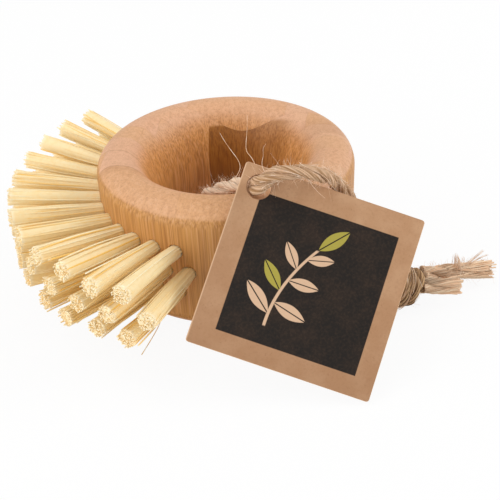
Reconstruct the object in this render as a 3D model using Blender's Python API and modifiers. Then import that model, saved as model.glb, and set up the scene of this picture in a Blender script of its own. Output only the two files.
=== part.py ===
"""A round bamboo scrub brush: a turned ring with three rows of fibre tufts, a jute cord and a card tag.

Metres and degrees, +Z up. The brush lies on z = 0 with the tufts toward -X, and the origin is under the
middle of the ring and its tufts. The cord and the tag are at the side away from the tufts, toward -Y.
"""

import math

import bmesh
import bpy
import numpy as np
from mathutils import Matrix, Vector

OBJECT_NAME = "scrub_brush"

# Gap between pieces that touch, and how far a cutter reaches past what it cuts
GAP = 0.0003
OVERRUN = 0.004

# Ring handle: a turned ring with rounded outer rims and a hole that flares to both faces
RING_RADIUS = 0.0385
RING_HEIGHT = 0.0405
THROAT_WALL = 0.0170
CREST_WALL = 0.0077
THROAT_RADIUS = RING_RADIUS - THROAT_WALL
CREST_RADIUS = RING_RADIUS - CREST_WALL
RIM_WIDTH = 0.0064
RIM_HEIGHT = 0.0063
RING_STEPS = 56
RIM_STEPS = 5
FLARE_STEPS = 12

# Tufts: three rows of bundles, each folded at its root and held by a staple in a blind hole.
# The ones nearest the tag lean toward it.
TUFT_ROWS = (("upper", 12, 1), ("middle", 13, 0), ("lower", 12, -1))
ROW_SPACING = 0.0067
TUFT_PITCH = 10.1
TUFT_TILT = 6.3
ROW_TILT_STEP = 1.7
FRONT_LEAN = 7.0
TUFT_RADIUS = 0.0018
TUFT_LENGTH = 0.0270
ROOT_PROUD = 0.0012
STRANDS_ACROSS = 3
STRAND_GAP = 0.00022
TIP_SPREAD_SHARE = 1.5
TIP_WIDTH_SHARE = 1.25
STRAND_LENGTH_SHARES = (0.965, 0.99, 0.975, 1.0, 0.985, 0.995, 0.97, 1.0, 0.98)
TUFT_SPIN = 137.5

TUFT_HOLE_CLEARANCE = 0.00035
TUFT_HOLE_DEPTH = 0.0090
HOLE_SIDES = 12

# Staple: a flat wire bar across the fold at each tuft's root, one piece with its tuft here
STAPLE_THICKNESS = 0.0005
STAPLE_DEPTH = 0.0018

# Cord: one jute cord that passes through a drilled hole in the ring's wall
CORD_RADIUS = 0.0018
CORD_HOLE_CLEARANCE = 0.0007
CORD_HOLE_AZIMUTH = -62.6
CORD_POINT_SPACING = 0.0076

# The cord's routes and the places on it, measured from the ring's axis at table height
INNER_ROUTE = (
    (0.0074, -0.0148, 0.0200),
    (0.0027, -0.0092, 0.0202),
    (-0.0048, -0.0071, 0.0236),
    (-0.0091, -0.0114, 0.0299),
    (-0.0073, -0.0171, 0.0349),
    (-0.0056, -0.0198, 0.0370),
    (-0.0032, -0.0237, 0.0399),
    (-0.0010, -0.0280, 0.0419),
    (0.0010, -0.0335, 0.0440),
    (0.0031, -0.0379, 0.0486),
    (0.0084, -0.0410, 0.0513),
    (0.0156, -0.0412, 0.0494),
    (0.0214, -0.0369, 0.0440),
    (0.0257, -0.0346, 0.0382),
    (0.0293, -0.0343, 0.0316),
    (0.0320, -0.0353, 0.0247),
    (0.0345, -0.0368, 0.0182),
    (0.0371, -0.0382, 0.0126),
)
OUTER_ROUTE = (
    (0.0208, -0.0399, 0.0197),
    (0.0252, -0.0438, 0.0172),
    (0.0303, -0.0446, 0.0129),
    (0.0350, -0.0426, 0.0089),
)
LONG_TAIL_ROUTE = (
    (0.0484, -0.0388, 0.0092),
    (0.0586, -0.0364, 0.0062),
    (0.0718, -0.0368, 0.0050),
)
SHORT_TAIL_ROUTE = (
    (0.0480, -0.0413, 0.0061),
    (0.0530, -0.0428, 0.0056),
    (0.0585, -0.0436, 0.0054),
)
TAIL_POINT_SPACING = 0.0050
TAIL_FLARE_SHARE = 1.45

# Knot: an overhand knot of both legs, a lump with a slanting turn of cord round it
KNOT_PLACE = (0.0424, -0.0397, 0.0065)
KNOT_RADIUS = 0.0060
KNOT_HALF_LENGTH = 0.0050
KNOT_ENTRY_DEPTH = 0.0055
KNOT_TURN_TILT = 35.0
KNOT_TURN_SHARE = 0.72

# Card tag: a square with a punched hole, threaded on the cord at its hole
TAG_SIDE = 0.0494
TAG_THICKNESS = 0.0008
TAG_CORNER_RADIUS = 0.0008
TAG_CORNER_STEPS = 3
TAG_HOLE_RADIUS = 0.00325
TAG_HOLE_STEPS = 24
TAG_HOLE_FROM_SIDE = 0.0053
TAG_HOLE_FROM_TOP = 0.0055
TAG_PLACE = (0.0015, -0.0352, 0.0448)
TAG_TURN = -9.5
TAG_LEAN = 49.6
TAG_ROLL = -23.3


def clear_scene():
    for old in list(bpy.data.objects):
        bpy.data.objects.remove(old, do_unlink=True)


def new_collection(name):
    collection = bpy.data.collections.new(name)
    bpy.context.scene.collection.children.link(collection)
    return collection


def principled(name, colour, roughness):
    material = bpy.data.materials.new(name)
    material.use_nodes = True
    shader = material.node_tree.nodes["Principled BSDF"]
    shader.inputs["Base Color"].default_value = (*colour, 1.0)
    shader.inputs["Roughness"].default_value = roughness
    material.diffuse_color = (*colour, 1.0)
    return material


def add_object(name, data, material, collection, axis):
    """A new object of this mesh or curve, placed from the ring's axis."""
    thing = bpy.data.objects.new(name, data)
    collection.objects.link(thing)
    thing.parent = axis
    if material and not data.materials:
        data.materials.append(material)
    return thing


def mesh_from(name, shape):
    """The finished bmesh as a mesh, with round faces smooth and true edges sharp."""
    mesh = bpy.data.meshes.new(name)
    shape.to_mesh(mesh)
    shape.free()
    mesh.shade_smooth()
    mesh.set_sharp_from_angle(angle=math.radians(40))
    return mesh


def add_boolean(target, operation, other):
    cut = target.modifiers.new(other.name, "BOOLEAN")
    cut.operation = operation
    cut.solver = "EXACT"
    cut.object = other


def hide_guide(guide):
    guide.hide_render = True
    guide.display_type = "WIRE"


# Places of the tufts


def tuft_places():
    """For each tuft its name and its place: origin on the ring's outer wall, +Z along the tuft."""
    widest = max(count for row_name, count, row in TUFT_ROWS)
    fan_end = TUFT_PITCH * (widest - 1) / 2
    places = []
    for row_name, count, row in TUFT_ROWS:
        height = RING_HEIGHT / 2 + row * ROW_SPACING
        tilt = math.radians(TUFT_TILT + row * ROW_TILT_STEP)
        for index in range(count):
            angle = TUFT_PITCH * (index - (count - 1) / 2)
            lean = FRONT_LEAN * (max(angle, 0) / fan_end) ** 3
            seat = math.radians(180 + angle)
            heading = math.radians(180 + angle - lean)
            direction = Vector((
                math.cos(heading) * math.cos(tilt),
                math.sin(heading) * math.cos(tilt),
                math.sin(tilt),
            ))
            origin = Vector((RING_RADIUS * math.cos(seat), RING_RADIUS * math.sin(seat), height))
            spin = Matrix.Rotation(math.radians(TUFT_SPIN * (index + row)), 4, "Z")
            turn = direction.to_track_quat("Z", "Y").to_matrix().to_4x4()
            places.append((f"tuft_{row_name}_{index + 1:02d}", Matrix.Translation(origin) @ turn @ spin))
    return places


def axis_place():
    """Where the ring's axis stands, so that the origin is under the middle of the ring and its tufts."""
    tips = [place @ Vector((0, 0, TUFT_LENGTH)) for name, place in tuft_places()]
    farthest = min(tip.x for tip in tips)
    front = min(tip.y for tip in tips)
    back = max(tip.y for tip in tips)
    return Vector((-(RING_RADIUS + farthest) / 2, -(front + back) / 2, 0))


def root_depth():
    """How far a tuft's root goes into its hole, above the staple and the gap under it."""
    return TUFT_HOLE_DEPTH - STAPLE_DEPTH - GAP


# Ring handle


def ring_profile():
    """The ring's section at +X, down its outer side, in across the bottom and up the flared hole."""
    upper_rim = []
    for step in range(RIM_STEPS + 1):
        angle = math.radians(90 * step / RIM_STEPS)
        radius = RING_RADIUS - RIM_WIDTH * (1 - math.sin(angle))
        height = RING_HEIGHT - RIM_HEIGHT * (1 - math.cos(angle))
        upper_rim.append((radius, height))
    lower_rim = [(radius, RING_HEIGHT - height) for radius, height in reversed(upper_rim)]
    flare = []
    for step in range(FLARE_STEPS + 1):
        angle = math.radians(180 * step / FLARE_STEPS - 90)
        radius = THROAT_RADIUS + (CREST_RADIUS - THROAT_RADIUS) * (1 - math.cos(angle))
        height = RING_HEIGHT / 2 * (1 + math.sin(angle))
        flare.append((radius, height))
    return upper_rim + lower_rim + flare


def make_ring(material, parts, cutters, axis):
    profile = bmesh.new()
    corners = [profile.verts.new((radius, 0, height)) for radius, height in ring_profile()]
    for first, second in zip(corners, corners[1:] + corners[:1]):
        profile.edges.new((first, second))
    ring = add_object("ring_handle", mesh_from("ring_handle", profile), material, parts, axis)
    turning = ring.modifiers.new("turning", "SCREW")
    turning.axis = "Z"
    turning.angle = math.radians(360)
    turning.steps = RING_STEPS
    turning.render_steps = RING_STEPS
    turning.use_merge_vertices = True
    turning.merge_threshold = GAP / 10
    add_boolean(ring, "DIFFERENCE", make_tuft_holes(cutters, axis))
    add_boolean(ring, "DIFFERENCE", make_cord_hole(cutters, axis))
    return ring


def make_tuft_holes(cutters, axis):
    """One cutter with a round bore for each tuft."""
    bores = bmesh.new()
    length = TUFT_HOLE_DEPTH + OVERRUN
    centre = Matrix.Translation((0, 0, OVERRUN - length / 2))
    radius = TUFT_RADIUS + TUFT_HOLE_CLEARANCE
    for name, place in tuft_places():
        bmesh.ops.create_cone(
            bores, cap_ends=True, segments=HOLE_SIDES, radius1=radius, radius2=radius, depth=length,
            matrix=place @ centre)
    holes = add_object("tuft_holes", mesh_from("tuft_holes", bores), None, cutters, axis)
    hide_guide(holes)
    return holes


def cord_hole_point(radius):
    """The point on the cord hole's axis at this distance from the ring's axis."""
    azimuth = math.radians(CORD_HOLE_AZIMUTH)
    return Vector((radius * math.cos(azimuth), radius * math.sin(azimuth), RING_HEIGHT / 2))


def make_cord_hole(cutters, axis):
    bore = bmesh.new()
    radius = CORD_RADIUS + CORD_HOLE_CLEARANCE
    length = RING_RADIUS - THROAT_RADIUS + 2 * OVERRUN
    bmesh.ops.create_cone(
        bore, cap_ends=True, segments=2 * HOLE_SIDES, radius1=radius, radius2=radius, depth=length)
    hole = add_object("cord_hole", mesh_from("cord_hole", bore), None, cutters, axis)
    hole.location = cord_hole_point((RING_RADIUS + THROAT_RADIUS) / 2)
    hole.rotation_euler = (0, math.radians(90), math.radians(CORD_HOLE_AZIMUTH))
    hide_guide(hole)
    return hole


# Tufts


def tuft_mesh():
    """Strands that rise from one round root along +Z, with the ring's wall at z = 0 and the staple below."""
    tuft = bmesh.new()
    bmesh.ops.create_grid(tuft, x_segments=STRANDS_ACROSS, y_segments=STRANDS_ACROSS, size=1)
    for vert in tuft.verts:
        # The unit square is drawn onto a disc
        across = vert.co.x * math.sqrt(1 - vert.co.y ** 2 / 2)
        along = vert.co.y * math.sqrt(1 - vert.co.x ** 2 / 2)
        vert.co = (TUFT_RADIUS * across, TUFT_RADIUS * along, ROOT_PROUD)
    tops = list(tuft.faces)
    root = bmesh.ops.extrude_face_region(tuft, geom=tops, use_keep_orig=True)["geom"]
    root_verts = [item for item in root if isinstance(item, bmesh.types.BMVert)]
    root_faces = [item for item in root if isinstance(item, bmesh.types.BMFace)]
    bmesh.ops.translate(tuft, verts=root_verts, vec=(0, 0, -ROOT_PROUD - root_depth()))
    fold = [face for face in root_faces if abs(face.calc_center_median().y) < TUFT_RADIUS / STRANDS_ACROSS]
    staple = bmesh.ops.extrude_face_region(tuft, geom=fold)["geom"]
    for vert in staple:
        if isinstance(vert, bmesh.types.BMVert):
            vert.co.y = math.copysign(STAPLE_THICKNESS / 2, vert.co.y)
            vert.co.z -= STAPLE_DEPTH
    bmesh.ops.delete(tuft, geom=fold, context="FACES")
    bmesh.ops.inset_individual(tuft, faces=tops, thickness=STRAND_GAP / 2, use_even_offset=True)
    tips = bmesh.ops.extrude_discrete_faces(tuft, faces=tops)["faces"]
    for tip, length_share in zip(tips, STRAND_LENGTH_SHARES):
        root_middle = tip.calc_center_median()
        tip_middle = root_middle * TIP_SPREAD_SHARE
        tip_middle.z = TUFT_LENGTH * length_share
        for vert in tip.verts:
            vert.co = tip_middle + (vert.co - root_middle) * TIP_WIDTH_SHARE
    bmesh.ops.recalc_face_normals(tuft, faces=tuft.faces)
    return mesh_from("tuft", tuft)


def make_tufts(material, parts, axis):
    mesh = tuft_mesh()
    for name, place in tuft_places():
        tuft = add_object(name, mesh, material, parts, axis)
        tuft.matrix_local = place


# Cord


def smooth_route(route, spacing):
    """Points about this far apart on the natural cubic curve through the route's points."""
    points = np.array(route)
    last = len(points) - 1
    system = np.eye(last + 1)
    pull = np.zeros_like(points)
    for i in range(1, last):
        system[i, i - 1:i + 2] = (1, 4, 1)
        pull[i] = 6 * (points[i + 1] - 2 * points[i] + points[i - 1])
    bend = np.linalg.solve(system, pull)
    fine = []
    for place in np.linspace(0, last, 40 * last + 1):
        i = min(int(place), last - 1)
        ahead = place - i
        behind = 1 - ahead
        straight = behind * points[i] + ahead * points[i + 1]
        bow = (behind ** 3 - behind) * bend[i] + (ahead ** 3 - ahead) * bend[i + 1]
        fine.append(straight + bow / 6)
    fine = np.array(fine)
    travel = np.concatenate(([0], np.cumsum(np.linalg.norm(np.diff(fine, axis=0), axis=1))))
    stops = np.linspace(0, travel[-1], max(2, round(travel[-1] / spacing)) + 1)
    return [Vector(np.interp(stop, travel, column) for column in fine.T) for stop in stops]


def make_tube(name, points, end_share, material, parts, axis):
    """A round cord along these points, its last point widened by the end share."""
    curve = bpy.data.curves.new(name, "CURVE")
    curve.dimensions = "3D"
    curve.bevel_depth = CORD_RADIUS
    curve.bevel_resolution = 2
    curve.use_fill_caps = True
    spline = curve.splines.new("POLY")
    spline.points.add(len(points) - 1)
    for index, point in enumerate(points):
        spline.points[index].co = (*point, 1)
        spline.points[index].radius = 1 + (end_share - 1) * (index / (len(points) - 1)) ** 2
        spline.use_smooth = True
    add_object(name, curve, material, parts, axis)


def make_cord(material, parts, cutters, axis):
    """Both legs of the cord, the knot that they meet in, and the two tails past it."""
    wall_middle = (RING_RADIUS + THROAT_RADIUS) / 2
    inner_start = [cord_hole_point(wall_middle - GAP / 2), cord_hole_point(THROAT_RADIUS)]
    outer_start = [cord_hole_point(wall_middle + GAP / 2), cord_hole_point(RING_RADIUS)]
    inner_leg = smooth_route(inner_start + list(INNER_ROUTE), CORD_POINT_SPACING)
    outer_leg = smooth_route(outer_start + list(OUTER_ROUTE), CORD_POINT_SPACING)
    long_tail = smooth_route(LONG_TAIL_ROUTE, TAIL_POINT_SPACING)
    short_tail = smooth_route(SHORT_TAIL_ROUTE, TAIL_POINT_SPACING)
    make_tube("cord_inner", inner_leg, 1, material, parts, axis)
    make_tube("cord_outer", outer_leg, 1, material, parts, axis)
    make_tube("tail_long", long_tail, TAIL_FLARE_SHARE, material, parts, axis)
    make_tube("tail_short", short_tail, 1, material, parts, axis)
    entries = [
        (inner_leg[-1], inner_leg[-1] - inner_leg[-2]),
        (outer_leg[-1], outer_leg[-1] - outer_leg[-2]),
        (long_tail[0], long_tail[0] - long_tail[1]),
        (short_tail[0], short_tail[0] - short_tail[1]),
    ]
    make_knot(entries, material, parts, cutters, axis)


def make_knot(entries, material, parts, cutters, axis):
    """A lump with a turn of cord round it, and an entry that faces the end of each leg and tail."""
    lump = bmesh.new()
    shape = Matrix.Diagonal((KNOT_HALF_LENGTH, KNOT_RADIUS, KNOT_RADIUS, 1))
    bmesh.ops.create_uvsphere(lump, u_segments=20, v_segments=12, radius=1, matrix=shape)
    knot = add_object("knot", mesh_from("knot", lump), material, parts, axis)
    knot.location = KNOT_PLACE
    turn_radius = CORD_RADIUS * KNOT_TURN_SHARE
    bpy.ops.mesh.primitive_torus_add(
        major_segments=20, minor_segments=8, major_radius=KNOT_RADIUS - turn_radius, minor_radius=turn_radius,
        location=KNOT_PLACE, rotation=(0, math.radians(90), math.radians(KNOT_TURN_TILT)))
    turn = bpy.context.object
    turn.name = "knot_turn"
    turn.parent = axis
    for collection in turn.users_collection:
        collection.objects.unlink(turn)
    cutters.objects.link(turn)
    hide_guide(turn)
    add_boolean(knot, "UNION", turn)
    for index, (end, direction) in enumerate(entries):
        direction = direction.normalized()
        stub = bmesh.new()
        bmesh.ops.create_cone(
            stub, cap_ends=True, segments=HOLE_SIDES, radius1=CORD_RADIUS, radius2=CORD_RADIUS,
            depth=KNOT_ENTRY_DEPTH)
        entry = add_object(f"knot_entry_{index + 1}", mesh_from("knot_entry", stub), None, cutters, axis)
        entry.location = end + direction * (GAP + KNOT_ENTRY_DEPTH / 2)
        entry.rotation_euler = direction.to_track_quat("Z", "Y").to_euler()
        hide_guide(entry)
        add_boolean(knot, "UNION", entry)


# Tag


def tag_outline():
    """The tag's rounded square, with its punched hole at the origin and its top edge toward +Y."""
    left = -TAG_HOLE_FROM_SIDE + TAG_CORNER_RADIUS
    right = TAG_SIDE - TAG_HOLE_FROM_SIDE - TAG_CORNER_RADIUS
    top = TAG_HOLE_FROM_TOP - TAG_CORNER_RADIUS
    bottom = TAG_HOLE_FROM_TOP - TAG_SIDE + TAG_CORNER_RADIUS
    outline = []
    for corner, (x, y) in enumerate(((right, top), (left, top), (left, bottom), (right, bottom))):
        for step in range(TAG_CORNER_STEPS + 1):
            angle = math.radians(90 * (corner + step / TAG_CORNER_STEPS))
            outline.append((x + TAG_CORNER_RADIUS * math.cos(angle), y + TAG_CORNER_RADIUS * math.sin(angle)))
    return outline


def tag_hole():
    hole = []
    for step in range(TAG_HOLE_STEPS):
        angle = math.radians(360 * step / TAG_HOLE_STEPS)
        hole.append((TAG_HOLE_RADIUS * math.cos(angle), TAG_HOLE_RADIUS * math.sin(angle)))
    return hole


def make_tag(material, parts, axis):
    curve = bpy.data.curves.new("tag", "CURVE")
    curve.dimensions = "2D"
    curve.fill_mode = "BOTH"
    curve.extrude = TAG_THICKNESS / 2
    for outline in (tag_outline(), tag_hole()):
        spline = curve.splines.new("POLY")
        spline.points.add(len(outline) - 1)
        for point, (x, y) in zip(spline.points, outline):
            point.co = (x, y, 0, 1)
        spline.use_cyclic_u = True
    tag = add_object("tag", curve, material, parts, axis)
    turn = Matrix.Rotation(math.radians(TAG_TURN), 4, "Z")
    lean = Matrix.Rotation(math.radians(TAG_LEAN), 4, "X")
    roll = Matrix.Rotation(math.radians(TAG_ROLL), 4, "Z")
    tag.matrix_local = Matrix.Translation(TAG_PLACE) @ turn @ lean @ roll


def main():
    clear_scene()
    parts = new_collection(OBJECT_NAME)
    cutters = new_collection("cutters")
    axis = bpy.data.objects.new("ring_axis", None)
    parts.objects.link(axis)
    axis.location = axis_place()

    bamboo = principled("bamboo", (0.62, 0.37, 0.17), 0.55)
    fibre = principled("plant_fibre", (0.86, 0.66, 0.33), 0.75)
    jute = principled("jute", (0.52, 0.35, 0.20), 0.9)
    card = principled("kraft_card", (0.46, 0.30, 0.17), 0.85)

    make_ring(bamboo, parts, cutters, axis)
    make_tufts(fibre, parts, axis)
    make_cord(jute, parts, cutters, axis)
    make_tag(card, parts, axis)


main()
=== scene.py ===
"""Bamboo scrub brush on a white floor: a turned bamboo ring, fibre tufts, a twisted jute cord and a card tag.

Laid out as an add-on and run as a script. Metres and degrees, +Z up, in the part's own frame.
"""

import math

import bpy
import numpy as np
from bpy.props import FloatProperty, FloatVectorProperty, IntProperty, PointerProperty
from mathutils import Matrix, Vector


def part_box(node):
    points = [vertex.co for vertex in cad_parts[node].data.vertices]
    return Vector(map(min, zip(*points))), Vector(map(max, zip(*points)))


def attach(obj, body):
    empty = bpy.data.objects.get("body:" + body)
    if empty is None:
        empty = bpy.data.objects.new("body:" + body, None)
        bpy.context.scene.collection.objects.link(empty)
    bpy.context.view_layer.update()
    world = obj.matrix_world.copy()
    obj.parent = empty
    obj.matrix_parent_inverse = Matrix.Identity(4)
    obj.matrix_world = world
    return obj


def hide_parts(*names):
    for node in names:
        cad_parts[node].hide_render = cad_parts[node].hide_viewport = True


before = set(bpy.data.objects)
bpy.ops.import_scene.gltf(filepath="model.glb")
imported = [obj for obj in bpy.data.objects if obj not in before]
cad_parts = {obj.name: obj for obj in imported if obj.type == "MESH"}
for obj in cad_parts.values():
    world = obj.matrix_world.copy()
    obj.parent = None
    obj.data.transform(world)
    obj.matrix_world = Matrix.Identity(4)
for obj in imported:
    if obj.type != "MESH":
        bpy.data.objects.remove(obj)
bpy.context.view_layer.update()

bl_info = {
    "name": "Bamboo scrub brush",
    "version": (1, 0, 0),
    "blender": (4, 5, 0),
    "location": "3D View > Sidebar > Scrub brush",
    "description": "Dresses the packed scrub brush in bamboo, plant fibre, jute and kraft card",
    "category": "Add Mesh",
}

FULL_TURN = 2 * math.pi
GOLDEN_TURN = math.pi * (3 - math.sqrt(5))
SPAN_STEPS = 40

# Ring, as in the part's source: its radius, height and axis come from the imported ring
ring_low, ring_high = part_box("ring_handle")
RING_RADIUS = (ring_high.y - ring_low.y) / 2
RING_HEIGHT = ring_high.z - ring_low.z
AXIS = np.array(((ring_low.x + ring_high.x) / 2, (ring_low.y + ring_high.y) / 2, 0))
THROAT_RADIUS = 0.0215
CREST_RADIUS = 0.0308
RIM_WIDTH = 0.0064
RIM_HEIGHT = 0.0063
RING_COLUMNS = 240
RIM_ROWS = 20
WALL_ROWS = 12
FLARE_ROWS = 48

# Wood of the ring, measured from its axis along the boards and across them. A pair is where a soft edge
# starts and ends. First how the boards are turned, the board of the dark strip, the thicker boards toward the
# front, the board after which no seam shows and where the seams between boards fade
BOARD_TURN = 24.6
DARK_BOARD_START = 0.0160
THICK_BOARD_START = -0.0075
THICK_BOARD = 0.0091
THICK_BOARDS_END = 0.0008
LAST_SEAM = -4.5
BOARD_SEAM_FADES = (0.005, 0.015)

# The band of deeper colour on the right rim, where the shade painted over the ring's right front sets in, the
# dark strip with its rising top, where it fades and ends, and how the strips are staggered
TAN_BAND_RISES = (0.0098, 0.0106)
TAN_BAND_FADES = (0.0165, 0.0195)
TAN_BAND_FRONT = (0.014, 0.022)
RIGHT_FRONT_PAINTED_SHADE = (0.018, 0.030)
DARK_STRIP_START = -0.0101
DARK_STRIP_TOP = 0.0344
DARK_STRIP_RISE = 0.25
DARK_TOP_EDGE = (-0.0002, 0.0008)
DARK_STRIP_FADES = (0.0, 0.010)
DARK_STRIP_ENDS = (0.012, 0.0205)
STRIP_STAGGER = 0.02455
STRIP_UNEVEN = 0.0053

# Grain: how steep the surface is where its colour turns from rim to wall, and how fine each pattern is across
# the fibres and along them
INNER_WALL_FACING = (0.30, 0.74)
OUTER_WALL_FACING = (0.40, 0.58)
BROAD_GRAIN = (900, 900, 12)
STREAKED_GRAIN = (2600, 2600, 40)
FINE_GRAIN = (3200, 3200, 90)
VEIN_STRETCH = 45

# Tufts, as in the part's source
TUFT_ROWS = (("upper", 12, 1), ("middle", 13, 0), ("lower", 12, -1))
ROW_SPACING = 0.0067
TUFT_PITCH = 10.1
TUFT_TILT = 6.3
ROW_TILT_STEP = 1.7
FRONT_LEAN = 7.0
TUFT_LENGTH = 0.0270
TUFT_HOLE_RADIUS = 0.00215
TUFT_HOLE_DEPTH = 0.0090
TUFT_ROOT_DEPTH = 0.0068
HOLE_COLUMNS = 20
CUTTER_OVERRUN = 0.004

# Fibres of a tuft: their grid and their core's, how much shorter some are, how far they wander and bow, how
# many are loose and stray farther, how far a whole tuft leans, how uneven the fibres are in thickness and the
# tufts at their tips, how the fibres' shades are spread, the core's shade, and the heights over which the
# shade painted on the lower row fades out
FIBRE_ROWS = 6
FIRST_FIBRE_ROW = 0.15
FIBRE_COLUMNS = 5
CORE_COLUMNS = 14
CORE_LENGTH = 0.965 * TUFT_LENGTH
FIBRE_SHORTER = 0.045
FIBRE_WANDER = 0.00018
FIBRE_BOW = 0.00026
LOOSE_SHARE = 0.07
LOOSE_WANDER = 6.0
TUFT_LEAN = 0.0006
FIBRE_UNEVEN = (0.75, 1.15)
TIP_UNEVEN = (0.93, 1.05)
SHADE_SPREAD = (1.0, 1.4)
CORE_SHADE = 0.35
LOW_ROW_PAINTED_SHADE = (0.006, 0.028)

# Cord, as in the part's source, apart from the short tail, which lies a little higher here: its routes are
# measured from the ring's axis at table height
CORD_HOLE_RADIUS = 0.0025
CORD_HOLE_AZIMUTH = -62.6
WALL_MIDDLE_RADIUS = (RING_RADIUS + THROAT_RADIUS) / 2
INNER_ROUTE = (
    (0.0074, -0.0148, 0.0200),
    (0.0027, -0.0092, 0.0202),
    (-0.0048, -0.0071, 0.0236),
    (-0.0091, -0.0114, 0.0299),
    (-0.0073, -0.0171, 0.0349),
    (-0.0056, -0.0198, 0.0370),
    (-0.0032, -0.0237, 0.0399),
    (-0.0010, -0.0280, 0.0419),
    (0.0010, -0.0335, 0.0440),
    (0.0031, -0.0379, 0.0486),
    (0.0084, -0.0410, 0.0513),
    (0.0156, -0.0412, 0.0494),
    (0.0214, -0.0369, 0.0440),
    (0.0257, -0.0346, 0.0382),
    (0.0293, -0.0343, 0.0316),
    (0.0320, -0.0353, 0.0247),
    (0.0345, -0.0368, 0.0182),
    (0.0371, -0.0382, 0.0126),
)
OUTER_ROUTE = (
    (0.0208, -0.0399, 0.0197),
    (0.0252, -0.0438, 0.0172),
    (0.0303, -0.0446, 0.0129),
    (0.0350, -0.0426, 0.0089),
)
LONG_TAIL_ROUTE = (
    (0.0484, -0.0388, 0.0092),
    (0.0586, -0.0364, 0.0062),
    (0.0718, -0.0368, 0.0050),
)
SHORT_TAIL_ROUTE = (
    (0.0480, -0.0413, 0.0066),
    (0.0530, -0.0425, 0.0067),
    (0.0585, -0.0433, 0.0065),
)

# Distance between points on the cord, and how much and over what distance it loosens where it passes the tag
CORD_STEP = 0.0006
LOOSENED_BY = 0.34
LOOSENED_OVER = 0.006

# Knot: its middle, its finer and deeper bundles, the shade painted over all of it, for its creases and the
# tag's shadow, and how much more its creases take, and the coil wrapped round its strands
KNOT_PLACE = np.array((0.0424, -0.0397, 0.0065))
KNOT_YARNS = {"columns": 36, "bundles": 4, "bundle_depth": 0.26}
KNOT_PAINTED_SHADE = (0.28, 1.35)
COIL_TURNS = (-0.32, 2.42)
COIL_MIDDLE_TURN = 1.05
COIL_TUCK = 0.42
COIL_END_RADIUS = 0.0016
COIL_RADIUS = 0.0039
COIL_PITCH = 0.0026
COIL_LEAN = 30
COIL_LEAN_SHARE = 0.55

# Yarns: how much quicker each one's own twist is than the cord's, against which it runs, how far out its
# fibres lie, how far its bundles stand out, its unevenness as sizes and rates along the cord in radians per
# metre, where and how quickly shade is painted on it as it faces the cord's middle, how dark the painted
# shade between its bundles is, how far apart the yarns read the jute's pattern, how much closer the laid cord
# is than its yarns' circle, and the distances from the ring's axis between which the jute turns from fluffy
# to worn
OWN_TWIST = -1.6
YARN_FILL = 0.86
BUNDLE_CROWN = 1.02
SWELL = (0.06, 900)
QUICK_SWELL = (0.05, 2300)
LUMPS = (0.06, 1450)
LUMP_TURN = 310
LOBE_SWAY = (0.5, 500)
CREASE_SHADE_START = 0.05
CREASE_SHADE_RATE = 1.1
BUNDLE_GAP_SHADE = 3.6
YARNS_APART = 0.3
FLUFFY_WITHIN = (0.026, 0.034)
COARSE_JUTE = (2.2, 2.2, 170)
FINE_JUTE = (7.0, 7.0, 300)

# Tails: for each its name, its route, how full it is, how far it splays and how uneven its end is, then the
# fibres of both, where and how steeply they fan out, how they untwist, drift and sway, how dark the shade
# painted on them near the knot is, how dark they are strand by strand and fibre by fibre, and how far apart
# strands read the pattern and how far round
TAILS = (
    ("long", LONG_TAIL_ROUTE, 1.25, 0.42, 0.12),
    ("short", SHORT_TAIL_ROUTE, 1.36, 0.16, 0.12),
)
TAIL_STEP = 0.0008
TAIL_FIBRES = 34
TAIL_FIBRE_RADIUS = 0.00024
TAIL_FIBRE_UNEVEN = (0.7, 1.25)
TAIL_COLUMNS = 5
TAIL_STRANDS = 5
FAN_START = 0.45
FAN_CURVE = 1.6
UNTWIST = 0.45
TAIL_DRIFT = 0.00035
TAIL_WAVE = (0.00012, 14)
SHADE_BY_KNOT = 0.14
SHADE_BY_KNOT_LENGTH = 0.005
STRAND_SHADE = 0.34
FIBRE_SHADE = 0.2
STRANDS_APART = 6
FIBRE_ROUND = 0.3

# Fuzz: for each run of cord its share of the short hairs, its share of the loose fibres and how far the hairs
# crowd to its start, then the hairs, and the loose fibres that lie along the cord
FUZZ_RUNS = {
    "inner": (0.60, 0.60, 2.0),
    "outer": (0.14, 0.20, 1.0),
    "tail": (0.09, 0.15, 1.0),
    "knot": (0.05, 0.50, 1.0),
}
FUZZ_LENGTH = 0.0028
FUZZ_THICKNESS = 0.00008
FUZZ_ROWS = 6
FUZZ_TIP = 0.35
FUZZ_CURL = 0.45
WISP_LENGTH = (0.005, 0.013)
WISP_RADIUS = 0.00007
WISP_ROWS = 16
WISP_RATE = (0.75, 1.1)
WISP_LIFT = 0.0010

# Tag, as in the part's source: its frame has its origin in the punched hole and +Y toward its top edge
TAG_SIDE = 0.0494
TAG_THICKNESS = 0.0008
TAG_CORNER_RADIUS = 0.0008
TAG_HOLE_RADIUS = 0.00325
TAG_HOLE_FROM_SIDE = 0.0053
TAG_HOLE_FROM_TOP = 0.0055
TAG_PLACE = (0.0015, -0.0352, 0.0448)
TAG_TURN = -9.5
TAG_LEAN = 49.6
TAG_ROLL = -23.3

# How finely the tag's outline and faces are divided, how far its edges are rounded off, and the height above
# its middle past which a corner is on one of its faces
TAG_SIDE_STEPS = 36
TAG_CORNER_STEPS = 6
TAG_FACE_STEPS = 12
TAG_SOFT_EDGE = 0.00012
TAG_FACE_LEVEL = TAG_THICKNESS * 0.49

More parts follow.
